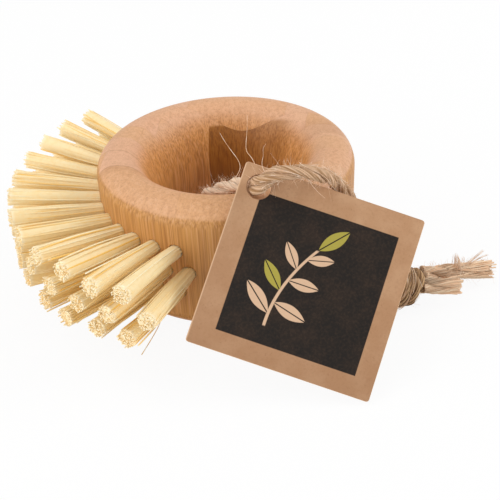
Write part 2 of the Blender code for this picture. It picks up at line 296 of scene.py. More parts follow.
# Print, in shares of the tag's side and degrees: where the map of the card's cut edges starts and that of its
# back, the softness of the square's edge, the sprig's stem, and its leaves. Each leaf stands a step up the
# stem from the one before, leans less, is shorter and thinner, and changes side, and one tops the stem
CUT_EDGES = 2
CARD_BACK = 4
INK_EDGE = 0.004
STEM_FOOT = (0.36, 0.22)
STEM_BOW = 0.75
SIDE_LEAVES = 6
FIRST_LEAF = 0.05
LEAF_STEP = 0.066
LEAF_LEAN = 62
LEAF_LEAN_STEP = 4
LEAF_SIDES = (0.8, -1.8)
LEAF_LENGTH = 0.21
LEAF_SHORTER = 0.012
LEAF_HALF_WIDTH = 0.040
LEAF_THINNER = 0.002
TOP_LEAF = (48, 0.20, 0.040)
TINTED_LEAVES = (2, 6)

# Camera of the photograph, with its place from the ring's axis
CAMERA_PLACE = AXIS + (-0.04432, -0.22579, 0.15848)
CAMERA_HEADING = 12.6
CAMERA_FALL = 34.239
CAMERA_ROLL = -2.749
CAMERA_LENS = 62.24
CAMERA_SENSOR = 36.0
CAMERA_NEAREST = 0.01
CAMERA_FARTHEST = 20

# Lamps: for each its name, its place and its size. The floor's glow is its share of plain white to the camera
LAMPS = (
    ("key", (-0.55, 0.15, 0.90), 0.8),
    ("fill", (-0.88, -0.46, 0.38), 0.7),
    ("side", (0.85, -0.15, 0.46), 0.6),
)
FLOOR_GLOW = 0.92

# Loose fibres of the cord, each with how many lie together, how far apart at the root and at the tip, their
# thickness and their route: those that stand up inside the ring, one past the tag's hole, and the locks of
# the long tail's frayed end
CORD_LOCKS = (
    (1, 0.0, 0.0, 0.00018, (
        (-0.0030, -0.0262, 0.0432), (-0.0020, -0.0293, 0.0489), (-0.0036, -0.0253, 0.0519),
        (-0.0055, -0.0223, 0.0555))),
    (1, 0.0, 0.0, 0.00020, (
        (0.0022, -0.0330, 0.0470), (0.0014, -0.0311, 0.0501), (0.0006, -0.0293, 0.0515),
        (0.0002, -0.0277, 0.0528), (0.0013, -0.0249, 0.0562), (0.0020, -0.0230, 0.0599))),
    (1, 0.0, 0.0, 0.00018, (
        (0.0038, -0.0350, 0.0475), (0.0032, -0.0325, 0.0497), (0.0038, -0.0316, 0.0518),
        (0.0041, -0.0306, 0.0533), (0.0051, -0.0298, 0.0542))),
    (1, 0.0, 0.0, 0.00014, (
        (0.0125, -0.0405, 0.0500), (0.0140, -0.0400, 0.0466), (0.0149, -0.0398, 0.0450),
        (0.0162, -0.0408, 0.0434), (0.0175, -0.0419, 0.0423))),
    (38, 0.0010, 0.0005, 0.00015, (
        (0.0608, -0.0366, 0.0076), (0.0604, -0.0367, 0.0098), (0.0598, -0.0368, 0.0120))),
    (22, 0.0012, 0.0009, 0.00013, (
        (0.0620, -0.0366, 0.0074), (0.0620, -0.0367, 0.0088), (0.0616, -0.0369, 0.0100))),
    (7, 0.0002, 0.0002, 0.00022, (
        (0.0622, -0.0366, 0.0070), (0.0655, -0.0372, 0.0102), (0.0678, -0.0377, 0.0127))),
    (7, 0.0002, 0.0002, 0.00020, (
        (0.0629, -0.0367, 0.0068), (0.0667, -0.0374, 0.0098), (0.0691, -0.0380, 0.0111))),
)
LOCK_ROWS = 24
LOCK_TIP = 0.4

# Fibres that stand away from the tufts, each with its radius and its route, the lowest of them thinner
STRAY_FIBRES = (
    (0.00012, (
        (-0.0250, -0.0268, 0.0130), (-0.0270, -0.0300, 0.0075), (-0.0285, -0.0330, 0.0042),
        (-0.0353, -0.0440, 0.0036))),
    (0.00020, ((-0.0340, -0.0150, 0.0270), (-0.0409, -0.0200, 0.0270), (-0.0480, -0.0265, 0.0270))),
    (0.00020, ((-0.0262, -0.0290, 0.0240), (-0.0318, -0.0330, 0.0255), (-0.0364, -0.0385, 0.0270))),
)
STRAY_ROWS = 20


def screen_colour(red, green, blue):
    """A colour written as a screen shows it, 0 to 255, as the linear light that materials use."""
    share = np.array((red, green, blue)) / 255
    light = np.where(share <= 0.04045, share / 12.92, ((share + 0.055) / 1.055) ** 2.4)
    return tuple(float(value) for value in light)


def colour_property(name, description, red, green, blue):
    return FloatVectorProperty(
        name=name, description=description, subtype="COLOR", size=3, min=0, max=1,
        default=screen_colour(red, green, blue))


def length_property(name, description, default):
    return FloatProperty(
        name=name, description=description, subtype="DISTANCE", unit="LENGTH", min=0, default=default,
        precision=5)


def power_property(name, description, default):
    return FloatProperty(name=name, description=description, unit="POWER", min=0, default=default)


class BambooSettings(bpy.types.PropertyGroup):
    """Sizes and colours of the laminated bamboo."""

    board: length_property("Board", "Thickness of one glued board", 0.0076)
    strip: length_property("Strip", "Width of one bamboo strip in a board", 0.0320)
    vein: length_property("Vein", "Distance between the veins that run up through the wood", 0.0007)
    pale: colour_property("Pale", "Lightest strip", 227, 181, 145)
    golden: colour_property("Golden", "Usual strip", 218, 164, 115)
    pink: colour_property("Pink", "Pinkish strip", 227, 177, 144)
    throat: colour_property("Inner wall", "The sides of the fibres, inside the ring", 216, 148, 68)
    wall: colour_property("Outer wall", "The sides of the fibres, on the outer wall", 198, 141, 68)
    stain: colour_property("Stain", "Dims the one dark strip inside", 191, 171, 108)
    # Also the colour of the shade painted over the ring's right front.
    vein_and_shade_colour: colour_property("Veins", "Veins, dots and glue lines", 140, 82, 36)


class TuftSettings(bpy.types.PropertyGroup):
    """Sizes and colours of the tufts."""

    fibres: IntProperty(name="Fibres", description="Fibres in each tuft", default=66, min=8, max=200)
    thickness: length_property("Thickness", "Thickness of one fibre", 0.00042)
    root_radius: length_property("Root", "Radius of a tuft where it leaves its hole", 0.00212)
    tip_radius: length_property("Tip", "Radius of a tuft at its cut end", 0.00290)
    core: FloatProperty(
        name="Core", description="Share of the radius packed solid", default=0.88, min=0, max=1)
    light: colour_property("Light", "Lightest fibre", 255, 244, 208)
    # The deep colour is also the shade painted over the lower row of tufts.
    deep: colour_property("Deep", "Darkest fibre", 249, 203, 104)
    cut: colour_property("Cut ends", "The cut ends of the fibres", 255, 246, 222)


class CordSettings(bpy.types.PropertyGroup):
    """Sizes and colours of the jute cord."""

    plies: IntProperty(name="Plies", description="Yarns twisted into the cord", default=3, min=2, max=4)
    ply_radius: length_property("Ply", "Radius of one yarn", 0.00105)
    ply_offset: length_property("Offset", "Distance of a yarn's middle from the cord's middle", 0.00092)
    lay: length_property("Lay", "Length of one full twist of the cord", 0.0260)
    hairs: IntProperty(name="Fuzz", description="Short hairs on the cord", default=4200, min=0)
    wisps: IntProperty(name="Wisps", description="Loose fibres that lie along the cord", default=150, min=0)
    pale: colour_property("Pale", "Light fibres", 221, 185, 151)
    brown: colour_property("Brown", "Darker fibres", 168, 126, 84)
    # Also the colour of the shade painted in the creases of the cord and the knot, and of its darker fibre
    # streaks.
    groove: colour_property("Grooves", "Between the yarns", 88, 56, 27)
    fuzz: colour_property("Fuzz colour", "The hairs and loose fibres", 250, 228, 204)
    # The frayed tails' paler colours are painted light, so that their self-shadowed loose fibres render pale.
    fray_pale_painted_light: colour_property("Fray, pale", "Light fibres of the frayed tails", 255, 231, 200)
    fray_brown_painted_light: colour_property("Fray, brown", "Darker fibres of the frayed tails", 252, 209, 170)
    knot_pale: colour_property("Knot, pale", "Light fibres of the knot", 244, 202, 152)
    # The knot's deeper brown is painted shade of its creases and of the tag's shadow over it.
    knot_brown_painted_shade: colour_property("Knot, brown", "Darker fibres of the knot", 118, 80, 42)


class TagSettings(bpy.types.PropertyGroup):
    """Sizes and colours of the card tag."""

    margin: length_property("Margin", "Bare card left of, above and right of the printed square", 0.0064)
    foot: length_property("Foot", "Bare card under the printed square", 0.0053)
    card: colour_property("Card", "The kraft card", 183, 140, 104)
    # Also the colour of the shade painted toward the tag's bottom and in its punched hole.
    fleck: colour_property("Flecks", "Dark fibres in the card", 142, 100, 69)
    # Also the colour of the highlight painted along the front's left edge.
    cut: colour_property("Cut edge", "The card's cut edge", 226, 188, 152)
    ink: colour_property("Ink", "The printed square", 24, 17, 12)
    leaf: colour_property("Leaves", "The bare leaves of the printed sprig", 214, 178, 146)
    olive: colour_property("Olive", "The tinted leaves of the printed sprig", 168, 156, 66)


class StageSettings(bpy.types.PropertyGroup):
    """Floor and light."""

    floor: length_property("Floor", "Half width of the floor", 3.0)
    sky: FloatProperty(name="Sky", description="Even light from all round", default=0.58, min=0)
    key: power_property("Key", "Power of the large lamp above", 3.0)
    fill: power_property("Fill", "Power of the lamp low at the left", 3.9)
    side: power_property("Side", "Power of the lamp at the right", 4.5)


# Shapes worked out on grids of points


def unit(vectors):
    """Each vector divided by its length."""
    return vectors / np.linalg.norm(vectors, axis=-1, keepdims=True)


def dot(first, second):
    return np.sum(first * second, axis=-1, keepdims=True)


def path_travel(path):
    """How far along the path each of its points is."""
    steps = np.linalg.norm(np.diff(path, axis=0), axis=1)
    return np.concatenate(([0], np.cumsum(steps)))


def read_along(values, travel, stops):
    """The rows of values at these stops, each the straight mix of its neighbours in travel."""
    return np.stack([np.interp(stops, travel, column) for column in values.T], axis=-1)


def smooth_route(route, spacing):
    """Points on the natural cubic curve through the route, and how far along each one is.

    The curve's bends solve one row of 1, 4, 1 per point. Each span is the straight mix of its ends plus a
    cubic bow from the bends, and the points are read from it at equal distances.
    """
    points = np.array(route, dtype=float)
    last = len(points) - 1
    inner = np.arange(1, last)
    system = np.eye(last + 1)
    system[inner, inner - 1] = 1
    system[inner, inner] = 4
    system[inner, inner + 1] = 1
    pull = np.zeros_like(points)
    pull[1:-1] = 6 * (points[2:] - 2 * points[1:-1] + points[:-2])
    bend = np.linalg.solve(system, pull)
    place = np.linspace(0, last, SPAN_STEPS * last + 1)
    span = np.minimum(place.astype(int), last - 1)
    ahead = (place - span)[:, None]
    behind = 1 - ahead
    bow = (behind ** 3 - behind) * bend[span] + (ahead ** 3 - ahead) * bend[span + 1]
    fine = behind * points[span] + ahead * points[span + 1] + bow / 6
    travel = path_travel(fine)
    stops = np.linspace(0, travel[-1], max(2, round(travel[-1] / spacing)) + 1)
    return read_along(fine, travel, stops), stops


def carried_frames(paths):
    """Along, side and up at every point of each path, with no roll between one point and the next.

    The side starts square to the path and to a fixed direction. The roll that this gives from point to
    point is measured against the smallest turn between them, summed, and turned back.
    """
    along = unit(np.gradient(paths, axis=-2))
    hint = np.array((0.31, 0.17, 0.93))
    side = unit(np.cross(along, hint))
    up = np.cross(along, side)
    turn = np.cross(along[..., :-1, :], along[..., 1:, :])
    cosine = dot(along[..., :-1, :], along[..., 1:, :])
    old_side = side[..., :-1, :]
    carried = old_side * cosine + np.cross(turn, old_side) + turn * dot(turn, old_side) / (1 + cosine)
    slip = np.arctan2(dot(carried, up[..., 1:, :]), dot(carried, side[..., 1:, :]))
    roll = np.concatenate((np.zeros_like(slip[..., :1, :]), np.cumsum(slip, axis=-2)), axis=-2)
    level_side = side * np.cos(roll) + up * np.sin(roll)
    level_up = up * np.cos(roll) - side * np.sin(roll)
    return along, level_side, level_up


def tube_points(paths, radius, columns):
    """Circles of this radius carried along each path: path + radius * (side * cos + up * sin).

    paths is (tubes, rows, 3), and radius is a number or an array that spreads over (tubes, rows, columns).
    Returns (tubes, rows, columns, 3).
    """
    side, up = carried_frames(paths)[1:]
    angle = np.linspace(0, FULL_TURN, columns, endpoint=False)[:, None]
    spoke = side[..., None, :] * np.cos(angle) + up[..., None, :] * np.sin(angle)
    reach = np.asarray(radius, dtype=float)
    if reach.ndim:
        reach = reach[..., None]
    return paths[..., None, :] + reach * spoke


def tube_faces(tubes, rows, columns, first=0):
    """Corner numbers, counted from first, of the quads of each tube's wall and of a flat cap at each end."""
    grid = first + np.arange(tubes * rows * columns).reshape(tubes, rows, columns)
    following = np.roll(grid, -1, axis=2)
    corners = (grid[:, :-1], following[:, :-1], following[:, 1:], grid[:, 1:])
    walls = np.stack(corners, axis=-1).reshape(-1, 4)
    caps = np.concatenate((grid[:, 0, ::-1], grid[:, -1]))
    return walls.tolist() + caps.tolist()


def ring_faces(rows, columns):
    """Corner numbers of the quads of one grid that closes both ways, as a ring's skin does."""
    grid = np.arange(rows * columns).reshape(rows, columns)
    below = np.roll(grid, -1, axis=0)
    corners = (grid, np.roll(grid, -1, axis=1), np.roll(below, -1, axis=1), below)
    return np.stack(corners, axis=-1).reshape(-1, 4).tolist()


def make_mesh(name, points, faces, material, numbers=None, vectors=None, sharp_angle=40):
    """A mesh of these points and faces, with a named number or vector on each point for its material."""
    mesh = bpy.data.meshes.new(name)
    mesh.from_pydata(points.reshape(-1, 3), [], faces)
    for label, values in (numbers or {}).items():
        mesh.attributes.new(label, "FLOAT", "POINT").data.foreach_set("value", np.ravel(values))
    for label, values in (vectors or {}).items():
        mesh.attributes.new(label, "FLOAT_VECTOR", "POINT").data.foreach_set("vector", np.ravel(values))
    mesh.materials.append(material)
    mesh.shade_smooth()
    mesh.set_sharp_from_angle(angle=math.radians(sharp_angle))
    piece = bpy.data.objects.new(name, mesh)
    bpy.context.scene.collection.objects.link(piece)
    return piece


def joined(arrays, shapes):
    """The arrays, each spread over its shape, end to end in one row."""
    return np.concatenate([np.broadcast_to(array, shape).ravel() for array, shape in zip(arrays, shapes)])


def make_tubes(name, skins, material, numbers=None, vectors=None, sharp_angle=60):
    """One mesh of one or more skins of tubes, each (tubes, rows, columns, 3).

    numbers and vectors hold, under each label, one array for each skin, which spreads over that skin.
    """
    shapes = [skin.shape for skin in skins]
    grids = [shape[:3] for shape in shapes]
    faces = []
    used = 0
    for grid in grids:
        faces += tube_faces(*grid, used)
        used += math.prod(grid)
    numbers = {label: joined(arrays, grids) for label, arrays in (numbers or {}).items()}
    vectors = {label: joined(arrays, shapes) for label, arrays in (vectors or {}).items()}
    return make_mesh(name, joined(skins, shapes), faces, material, numbers, vectors, sharp_angle)


def give_to_body(piece, body, slot, *nodes):
    """The piece rides on this body and stands for these CAD nodes. Its slot is not used."""
    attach(piece, body)
    if nodes:
        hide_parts(*nodes)


# Materials


def math_sign(operation, reflected=False):
    """One of Python's signs as a Math node. Reflected, the Wire is the second of its two values."""
    def add_node(wire, other):
        values = (other, wire) if reflected else (wire, other)
        return wire.finish.add("ShaderNodeMath", {"operation": operation}, dict(enumerate(values)))
    return add_node


class Wire:
    """A value in a material. Python's signs on it add Math nodes."""

    __add__ = __radd__ = math_sign("ADD")
    __sub__ = math_sign("SUBTRACT")
    __rsub__ = math_sign("SUBTRACT", reflected=True)
    __mul__ = __rmul__ = math_sign("MULTIPLY")
    __truediv__ = math_sign("DIVIDE")
    __rtruediv__ = math_sign("DIVIDE", reflected=True)

    def __init__(self, finish, socket):
        self.finish = finish
        self.socket = socket

    def __abs__(self):
        return self.math("ABSOLUTE")

    def math(self, operation, *others):
        inputs = dict(enumerate((self, *others)))
        return self.finish.add("ShaderNodeMath", {"operation": operation}, inputs)


class Finish:
    """A material being made. add() puts in any node and returns one of its outputs as a Wire."""

    def __init__(self, name, colour, roughness):
        self.material = bpy.data.materials.new(name)
        self.material.use_nodes = True
        self.material.diffuse_color = (*colour, 1)
        self.tree = self.material.node_tree
        self.shader = self.tree.nodes["Principled BSDF"]
        self.set("Base Color", (*colour, 1))
        self.set("Roughness", roughness)

    def add(self, kind, settings=None, inputs=None, output=0):
        node = self.tree.nodes.new(kind)
        for name, value in (settings or {}).items():
            setattr(node, name, value)
        for key, value in (inputs or {}).items():
            self.join(node.inputs[key], value)
        return Wire(self, node.outputs[output])

    def join(self, socket, value):
        if isinstance(value, Wire):
            self.tree.links.new(value.socket, socket)
        else:
            socket.default_value = value

    def set(self, name, value):
        self.join(self.shader.inputs[name], value)

    def place(self):
        """The point in the piece's own space."""
        return self.add("ShaderNodeTexCoord", output="Object")

    def from_axis(self):
        """The point, measured from the foot of the ring's axis."""
        return self.add("ShaderNodeMapping", inputs={"Vector": self.place(), "Location": tuple(-AXIS)})

    def split(self, vector):
        """The vector's three numbers."""
        outputs = self.add("ShaderNodeSeparateXYZ", inputs={0: vector}).socket.node.outputs
        return [Wire(self, output) for output in outputs]

    def distance(self, across, ahead):
        """The root of the sum of both squares."""
        return (across * across + ahead * ahead).math("SQRT")

    def attribute(self, name, output="Fac"):
        return self.add("ShaderNodeAttribute", {"attribute_name": name}, output=output)

    def stretched(self, vector, scale):
        return self.add("ShaderNodeMapping", inputs={"Vector": vector, "Scale": scale})

    def noise(self, vector, scale, detail=2.0):
        inputs = {"Vector": vector, "Scale": scale, "Detail": detail}
        return self.add("ShaderNodeTexNoise", inputs=inputs)

    def grain(self, vector, scale, detail=2.0):
        """Noise with a scale of its own on each axis."""
        return self.noise(self.stretched(vector, scale), 1.0, detail)

    def cell_tone(self, column, row):
        """A number from 0 to 1 that is the same all over one cell."""
        place = self.add("ShaderNodeCombineXYZ", inputs={0: column, 1: row})
        return self.add("ShaderNodeTexWhiteNoise", {"noise_dimensions": "3D"}, {"Vector": place})

    def ease(self, value, start, end):
        """0 below start, 1 above end, with a soft step between."""
        settings = {"interpolation_type": "SMOOTHSTEP"}
        inputs = {"Value": value, "From Min": start, "From Max": end, "To Min": 0.0, "To Max": 1.0}
        return self.add("ShaderNodeMapRange", settings, inputs)

    def band(self, value, start, end, soft):
        """1 between start and end, 0 past them, with a soft step across each."""
        rise = self.ease(value, start - soft / 2, start + soft / 2)
        return rise * (1 - self.ease(value, end - soft / 2, end + soft / 2))

    def blend(self, share, first, second, mode="MIX"):
        """The first colour turning into the second by share."""
        settings = {"data_type": "RGBA", "blend_type": mode}
        inputs = {0: share, 6: as_colour(first), 7: as_colour(second)}
        return self.add("ShaderNodeMix", settings, inputs, output=2)

    def coats(self, colour, *coats):
        """The colour with each coat laid over it in turn. A coat is its share and its colour."""
        for share, tint in coats:
            colour = self.blend(share, colour, tint)
        return colour

    def bump(self, height, strength, distance):
        inputs = {"Height": height, "Strength": strength, "Distance": distance}
        self.set("Normal", self.add("ShaderNodeBump", inputs=inputs))


def as_colour(value):
    """A colour for a node's socket, whether it is a Wire or three numbers."""
    return value if isinstance(value, Wire) else (*value, 1)


def bamboo_finish(settings):
    """Glued boards side by side, each of upright strips with a shade of their own.

    The grain is a pattern stretched up through the ring, so it shows as dots on the rims and as streaks on
    the walls, where the wood is deeper in colour.
    """
    finish = Finish("laminated_bamboo", settings.golden, 0.5)
    turned = finish.add("ShaderNodeMapping", inputs={
        "Vector": finish.from_axis(), "Rotation": (0, 0, math.radians(BOARD_TURN))})
    along, across, height = finish.split(turned)
    facing = abs(finish.split(finish.add("ShaderNodeNewGeometry", output="Normal"))[2])
    outside = finish.ease(finish.distance(along, across), CREST_RADIUS, RING_RADIUS - RIM_WIDTH * 0.7)
    inner_wall = 1 - finish.ease(facing, *INNER_WALL_FACING)
    outer_wall = 1 - finish.ease(facing, *OUTER_WALL_FACING)
    wall = inner_wall + outside * (outer_wall - inner_wall)

    far_place = (across - DARK_BOARD_START) / settings.board
    near_place = (across - THICK_BOARD_START) / THICK_BOARD - 3
    near = across.math("LESS_THAN", THICK_BOARDS_END)
    board_place = (far_place + near * (near_place - far_place)).math("MAXIMUM", LAST_SEAM)
    board = board_place.math("FLOOR")
    plain = board.math("LESS_THAN", LAST_SEAM)
    shift = DARK_STRIP_START + board * STRIP_STAGGER + board * (board - 1) * STRIP_UNEVEN
    strip_place = (along - shift) / settings.strip
    strip = strip_place.math("FLOOR")
    tone = finish.cell_tone(board, strip)
    pink = finish.cell_tone(strip + 7, board - 3)

    dark = board.math("COMPARE", 0.0, 0.1) * strip.math("COMPARE", 0.0, 0.1)
    over_dark = height - DARK_STRIP_TOP - DARK_STRIP_RISE * along.math("MAXIMUM", 0.0)
    dark = dark * (1 - 0.3 * finish.ease(along, *DARK_STRIP_FADES))
    dark = dark * (1 - finish.ease(along, *DARK_STRIP_ENDS)) * (1 - finish.ease(over_dark, *DARK_TOP_EDGE))
    board_seam = 1 - finish.ease(board_place.math("PINGPONG", 0.5), 0.010, 0.030)
    strip_seam = 1 - finish.ease(strip_place.math("PINGPONG", 0.5), 0.002, 0.006)
    board_seam = board_seam * (0.25 + 0.75 * near * (1 - finish.ease(along, *BOARD_SEAM_FADES)))
    seam = board_seam.math("MAXIMUM", strip_seam * 0.3)
    tan = finish.ease(across, *TAN_BAND_RISES) * finish.ease(along, *TAN_BAND_FRONT)
    tan = tan * (1 - finish.ease(across, *TAN_BAND_FADES))
    past_seam = plain * finish.ease(board_place, LAST_SEAM + 0.05, LAST_SEAM + 0.40)

    shifted = finish.add("ShaderNodeVectorMath", {"operation": "ADD"}, {
        0: turned, 1: finish.add("ShaderNodeCombineXYZ", inputs={2: tone * 3})})
    broad = finish.grain(shifted, BROAD_GRAIN, 3.0)
    streak = finish.grain(shifted, STREAKED_GRAIN, 3.0)
    fine = finish.grain(shifted, FINE_GRAIN)
    vein_scale = 1 / settings.vein
    vein_place = finish.stretched(shifted, (vein_scale, vein_scale, vein_scale / VEIN_STRETCH))
    vein_distance = finish.add(
        "ShaderNodeTexVoronoi", {"feature": "F1"}, {"Vector": vein_place, "Scale": 1.0})
    vein = (1 - finish.ease(vein_distance, 0.12, 0.34)) * finish.ease(streak, 0.40, 0.60)

    colour = finish.coats(
        settings.golden,
        (tone * 0.8 * (1 - plain), settings.pale),
        (finish.ease(pink, 0.35, 0.9) * (0.7 - 0.5 * plain), settings.pink),
        (wall * 0.82, finish.blend(outside, settings.throat, settings.wall)),
        (finish.ease(broad, 0.44, 0.68) * (0.14 + 0.12 * wall), settings.vein_and_shade_colour),
        (finish.ease(1 - broad, 0.50, 0.66) * (1 - wall) * 0.30, settings.pale),
        (finish.ease(streak, 0.46, 0.66) * (0.34 + 0.66 * wall) * 0.46, settings.vein_and_shade_colour),
        (finish.ease(1 - streak, 0.52, 0.70) * (0.17 + 0.17 * wall), settings.pale),
        (vein * 0.24, settings.vein_and_shade_colour),
        (seam * 0.32, settings.vein_and_shade_colour),
        # The tan band, and shade painted over the ring's right front.
        (tan * 0.15 + finish.ease(along, *RIGHT_FRONT_PAINTED_SHADE) * 0.07, settings.vein_and_shade_colour),
        (past_seam * 0.16, settings.vein_and_shade_colour))
    finish.set("Base Color", finish.blend(dark, colour, settings.stain, "MULTIPLY"))
    finish.set("Roughness", 0.44 + fine * 0.18)
    finish.bump(fine * 0.4 + streak * 0.6 - vein * 0.5 - seam * 0.4, 0.25, 0.00010)
    return finish.material


def fibre_finish(settings):
    """Waxy plant fibres: a shade for each fibre, faint streaks along it and a pale cut end.

    The lower row is painted a deeper straw colour: painted shade toward the floor.
    """
    finish = Finish("plant_fibre_bristle", settings.light, 0.5)
    streak = finish.noise(finish.place(), 900.0)
    # Shade painted over the lower row of tufts, fading out with height.
    low = 1 - finish.ease(finish.split(finish.place())[2], *LOW_ROW_PAINTED_SHADE)
    finish.set("Base Color", finish.coats(
        settings.light,
        (finish.attribute("fibre_shade"), settings.deep),
        (finish.ease(streak, 0.4, 0.7) * 0.2, settings.deep),
        (low * 0.5, settings.deep),
        (finish.ease(finish.attribute("fibre_tip"), 0.96, 1.0) * 0.5, settings.cut)))
    finish.set("Roughness", 0.42 + streak * 0.2)
    finish.bump(streak, 0.2, 0.00005)
    return finish.material


def jute_finish(name, pale, brown, settings):
    """Jute yarn: fibres that run with each yarn's own twist, light on the crowns and with shade painted where
    the yarns meet.

    The part of the cord inside the ring is fluffier and paler.
    """
    finish = Finish(name, pale, 0.85)
    yarn = finish.attribute("yarn", "Vector")
    coarse = finish.grain(yarn, COARSE_JUTE)
    fine = finish.grain(yarn, FINE_JUTE)
    fluffy = 1 - finish.ease(finish.distance(*finish.split(finish.from_axis())[:2]), *FLUFFY_WITHIN)
    finish.set("Base Color", finish.coats(
        pale,
        (finish.ease(coarse, 0.36, 0.66), brown),
        (fluffy * 0.62, settings.fuzz),
        (finish.ease(fine, 0.52, 0.74) * 0.45, settings.groove),
        (finish.ease(1 - fine, 0.55, 0.72) * 0.4, pale),
        # Shade painted in the creases between the yarns, read from their attribute.
        (finish.attribute("groove"), settings.groove)))
    finish.bump(fine * 0.7 + coarse * 0.5, 0.6, 0.00018)
    return finish.material


def hair_finish(name, colour, deep):
    """Single hairs: one colour that wanders a little along them."""
    finish = Finish(name, colour, 0.7)
    wander = finish.noise(finish.place(), 450.0, 1.0)
    finish.set("Base Color", finish.blend(finish.ease(wander, 0.35, 0.65), colour, deep))
    return finish.material


def leaf_mask(finish, across, up, base, angle, length, half_width):
    """1 inside a leaf: two mirrored bows from its base to its point, with a bare vein down the middle."""
    turn = math.radians(angle)
    from_base_x = across - base[0]
    from_base_y = up - base[1]
    along = (from_base_x * math.cos(turn) + from_base_y * math.sin(turn)) / length
    aside = abs(from_base_y * math.cos(turn) - from_base_x * math.sin(turn)) / half_width
    inside = finish.ease(4 * along * (1 - along) - aside, 0.0, 0.08)
    vein = 1 - finish.ease(aside, 0.05, 0.11)
    return inside * (1 - vein)


def leaf_places():
    """Base, angle, length and half width of each leaf of the sprig, up its bowed stem."""
    shapes = [
        (90 + LEAF_SIDES[index % 2] * (LEAF_LEAN - LEAF_LEAN_STEP * index),
         LEAF_LENGTH - LEAF_SHORTER * index, LEAF_HALF_WIDTH - LEAF_THINNER * index)
        for index in range(SIDE_LEAVES)]
    for index, shape in enumerate((*shapes, TOP_LEAF)):
        rise = STEM_FOOT[1] + FIRST_LEAF + LEAF_STEP * index
        base = (STEM_FOOT[0] + STEM_BOW * (rise - STEM_FOOT[1]) ** 2, rise)
        yield base, *shape


def sprig_masks(finish, across, up):
    """1 on the bare leaves and the stem of the sprig, and 1 on its tinted leaves."""
    off_stem = up - STEM_FOOT[1]
    stem_line = abs(across - STEM_FOOT[0] - off_stem * off_stem * STEM_BOW)
    bare = (1 - finish.ease(stem_line, 0.006, 0.010)) * finish.band(up, 0.205, 0.665, 0.01)
    tinted = None
    for index, place in enumerate(leaf_places()):
        leaf = leaf_mask(finish, across, up, *place)
        if index not in TINTED_LEAVES:
            bare = bare.math("MAXIMUM", leaf)
        elif tinted is None:
            tinted = leaf
        else:
            tinted = tinted.math("MAXIMUM", leaf)
    return bare, tinted


def card_finish(settings):
    """Kraft card with flecks, a dark printed square on its front and a plain leafy sprig left bare in it.

    The card's map has its front from 0 to 1, its cut edges 2 to the right of that and its back 4.
    """
    finish = Finish("kraft_card", settings.card, 0.82)
    finish.set("Specular IOR Level", 0.3)
    across, up = finish.split(finish.add("ShaderNodeUVMap", {"uv_map": "card"}))[:2]
    place = finish.place()
    cloud = finish.noise(place, 160.0, 3.0)
    grain = finish.noise(place, 1500.0)
    fleck = finish.grain(place, (2600, 900, 1500), 1.0)
    from_hole = finish.distance(
        across - CUT_EDGES - TAG_HOLE_FROM_SIDE / TAG_SIDE, up - 1 + TAG_HOLE_FROM_TOP / TAG_SIDE)
    hole = TAG_HOLE_RADIUS / TAG_SIDE
    colour = finish.coats(
        settings.card,
        (finish.ease(cloud, 0.35, 0.7) * 0.22, settings.cut),
        (finish.ease(grain, 0.45, 0.75) * 0.16, settings.fleck),
        (finish.ease(fleck, 0.68, 0.74) * 0.3, settings.fleck),
        # Shade painted toward the tag's bottom.
        ((1 - up) * 0.36, settings.fleck),
        (finish.band(across, CUT_EDGES - 0.5, CUT_EDGES + 1.5, 0.2) * 0.85, settings.cut),
        # A highlight painted along the front's left edge.
        ((1 - finish.ease(across, 0.003, 0.009)) * 0.75, settings.cut),
        # Shade painted in the bore of the punched hole.
        ((1 - finish.ease(from_hole, 1.15 * hole, 1.25 * hole)) * 0.8, settings.fleck))

    left = settings.margin / TAG_SIDE
    low = settings.foot / TAG_SIDE
    ink = finish.band(across, left, 1 - low, INK_EDGE) * finish.band(up, low, 1 - left, INK_EDGE)
    bare, tinted = sprig_masks(finish, across, up)
    printed = finish.coats(
        settings.ink,
        (finish.ease(cloud, 0.4, 0.7) * 0.04, settings.fleck),
        (bare, settings.leaf),
        (tinted, settings.olive))
    worn = finish.ease(grain, 0.25, 0.62)
    finish.set("Base Color", finish.blend(ink * (0.97 + 0.03 * worn), colour, printed))
    finish.set("Roughness", 0.86 - ink * 0.28)
    finish.bump(grain + cloud * 0.5, 0.25, 0.00008)
    return finish.material


def floor_finish():
    """White to the camera, with part of the real shadow left in it."""
    finish = Finish("white_floor", (0.9, 0.9, 0.9), 0.9)
    finish.set("Specular IOR Level", 0)
    seen = finish.add("ShaderNodeLightPath", output="Is Camera Ray")
    glow = finish.add("ShaderNodeEmission", inputs={"Color": (1, 1, 1, 1), "Strength": 1.0})
    lit = Wire(finish, finish.shader.outputs["BSDF"])
    mixed = finish.add("ShaderNodeMixShader", inputs={0: seen * FLOOR_GLOW, 1: lit, 2: glow})
    finish.join(finish.tree.nodes["Material Output"].inputs["Surface"], mixed)
    return finish.material


# Stage


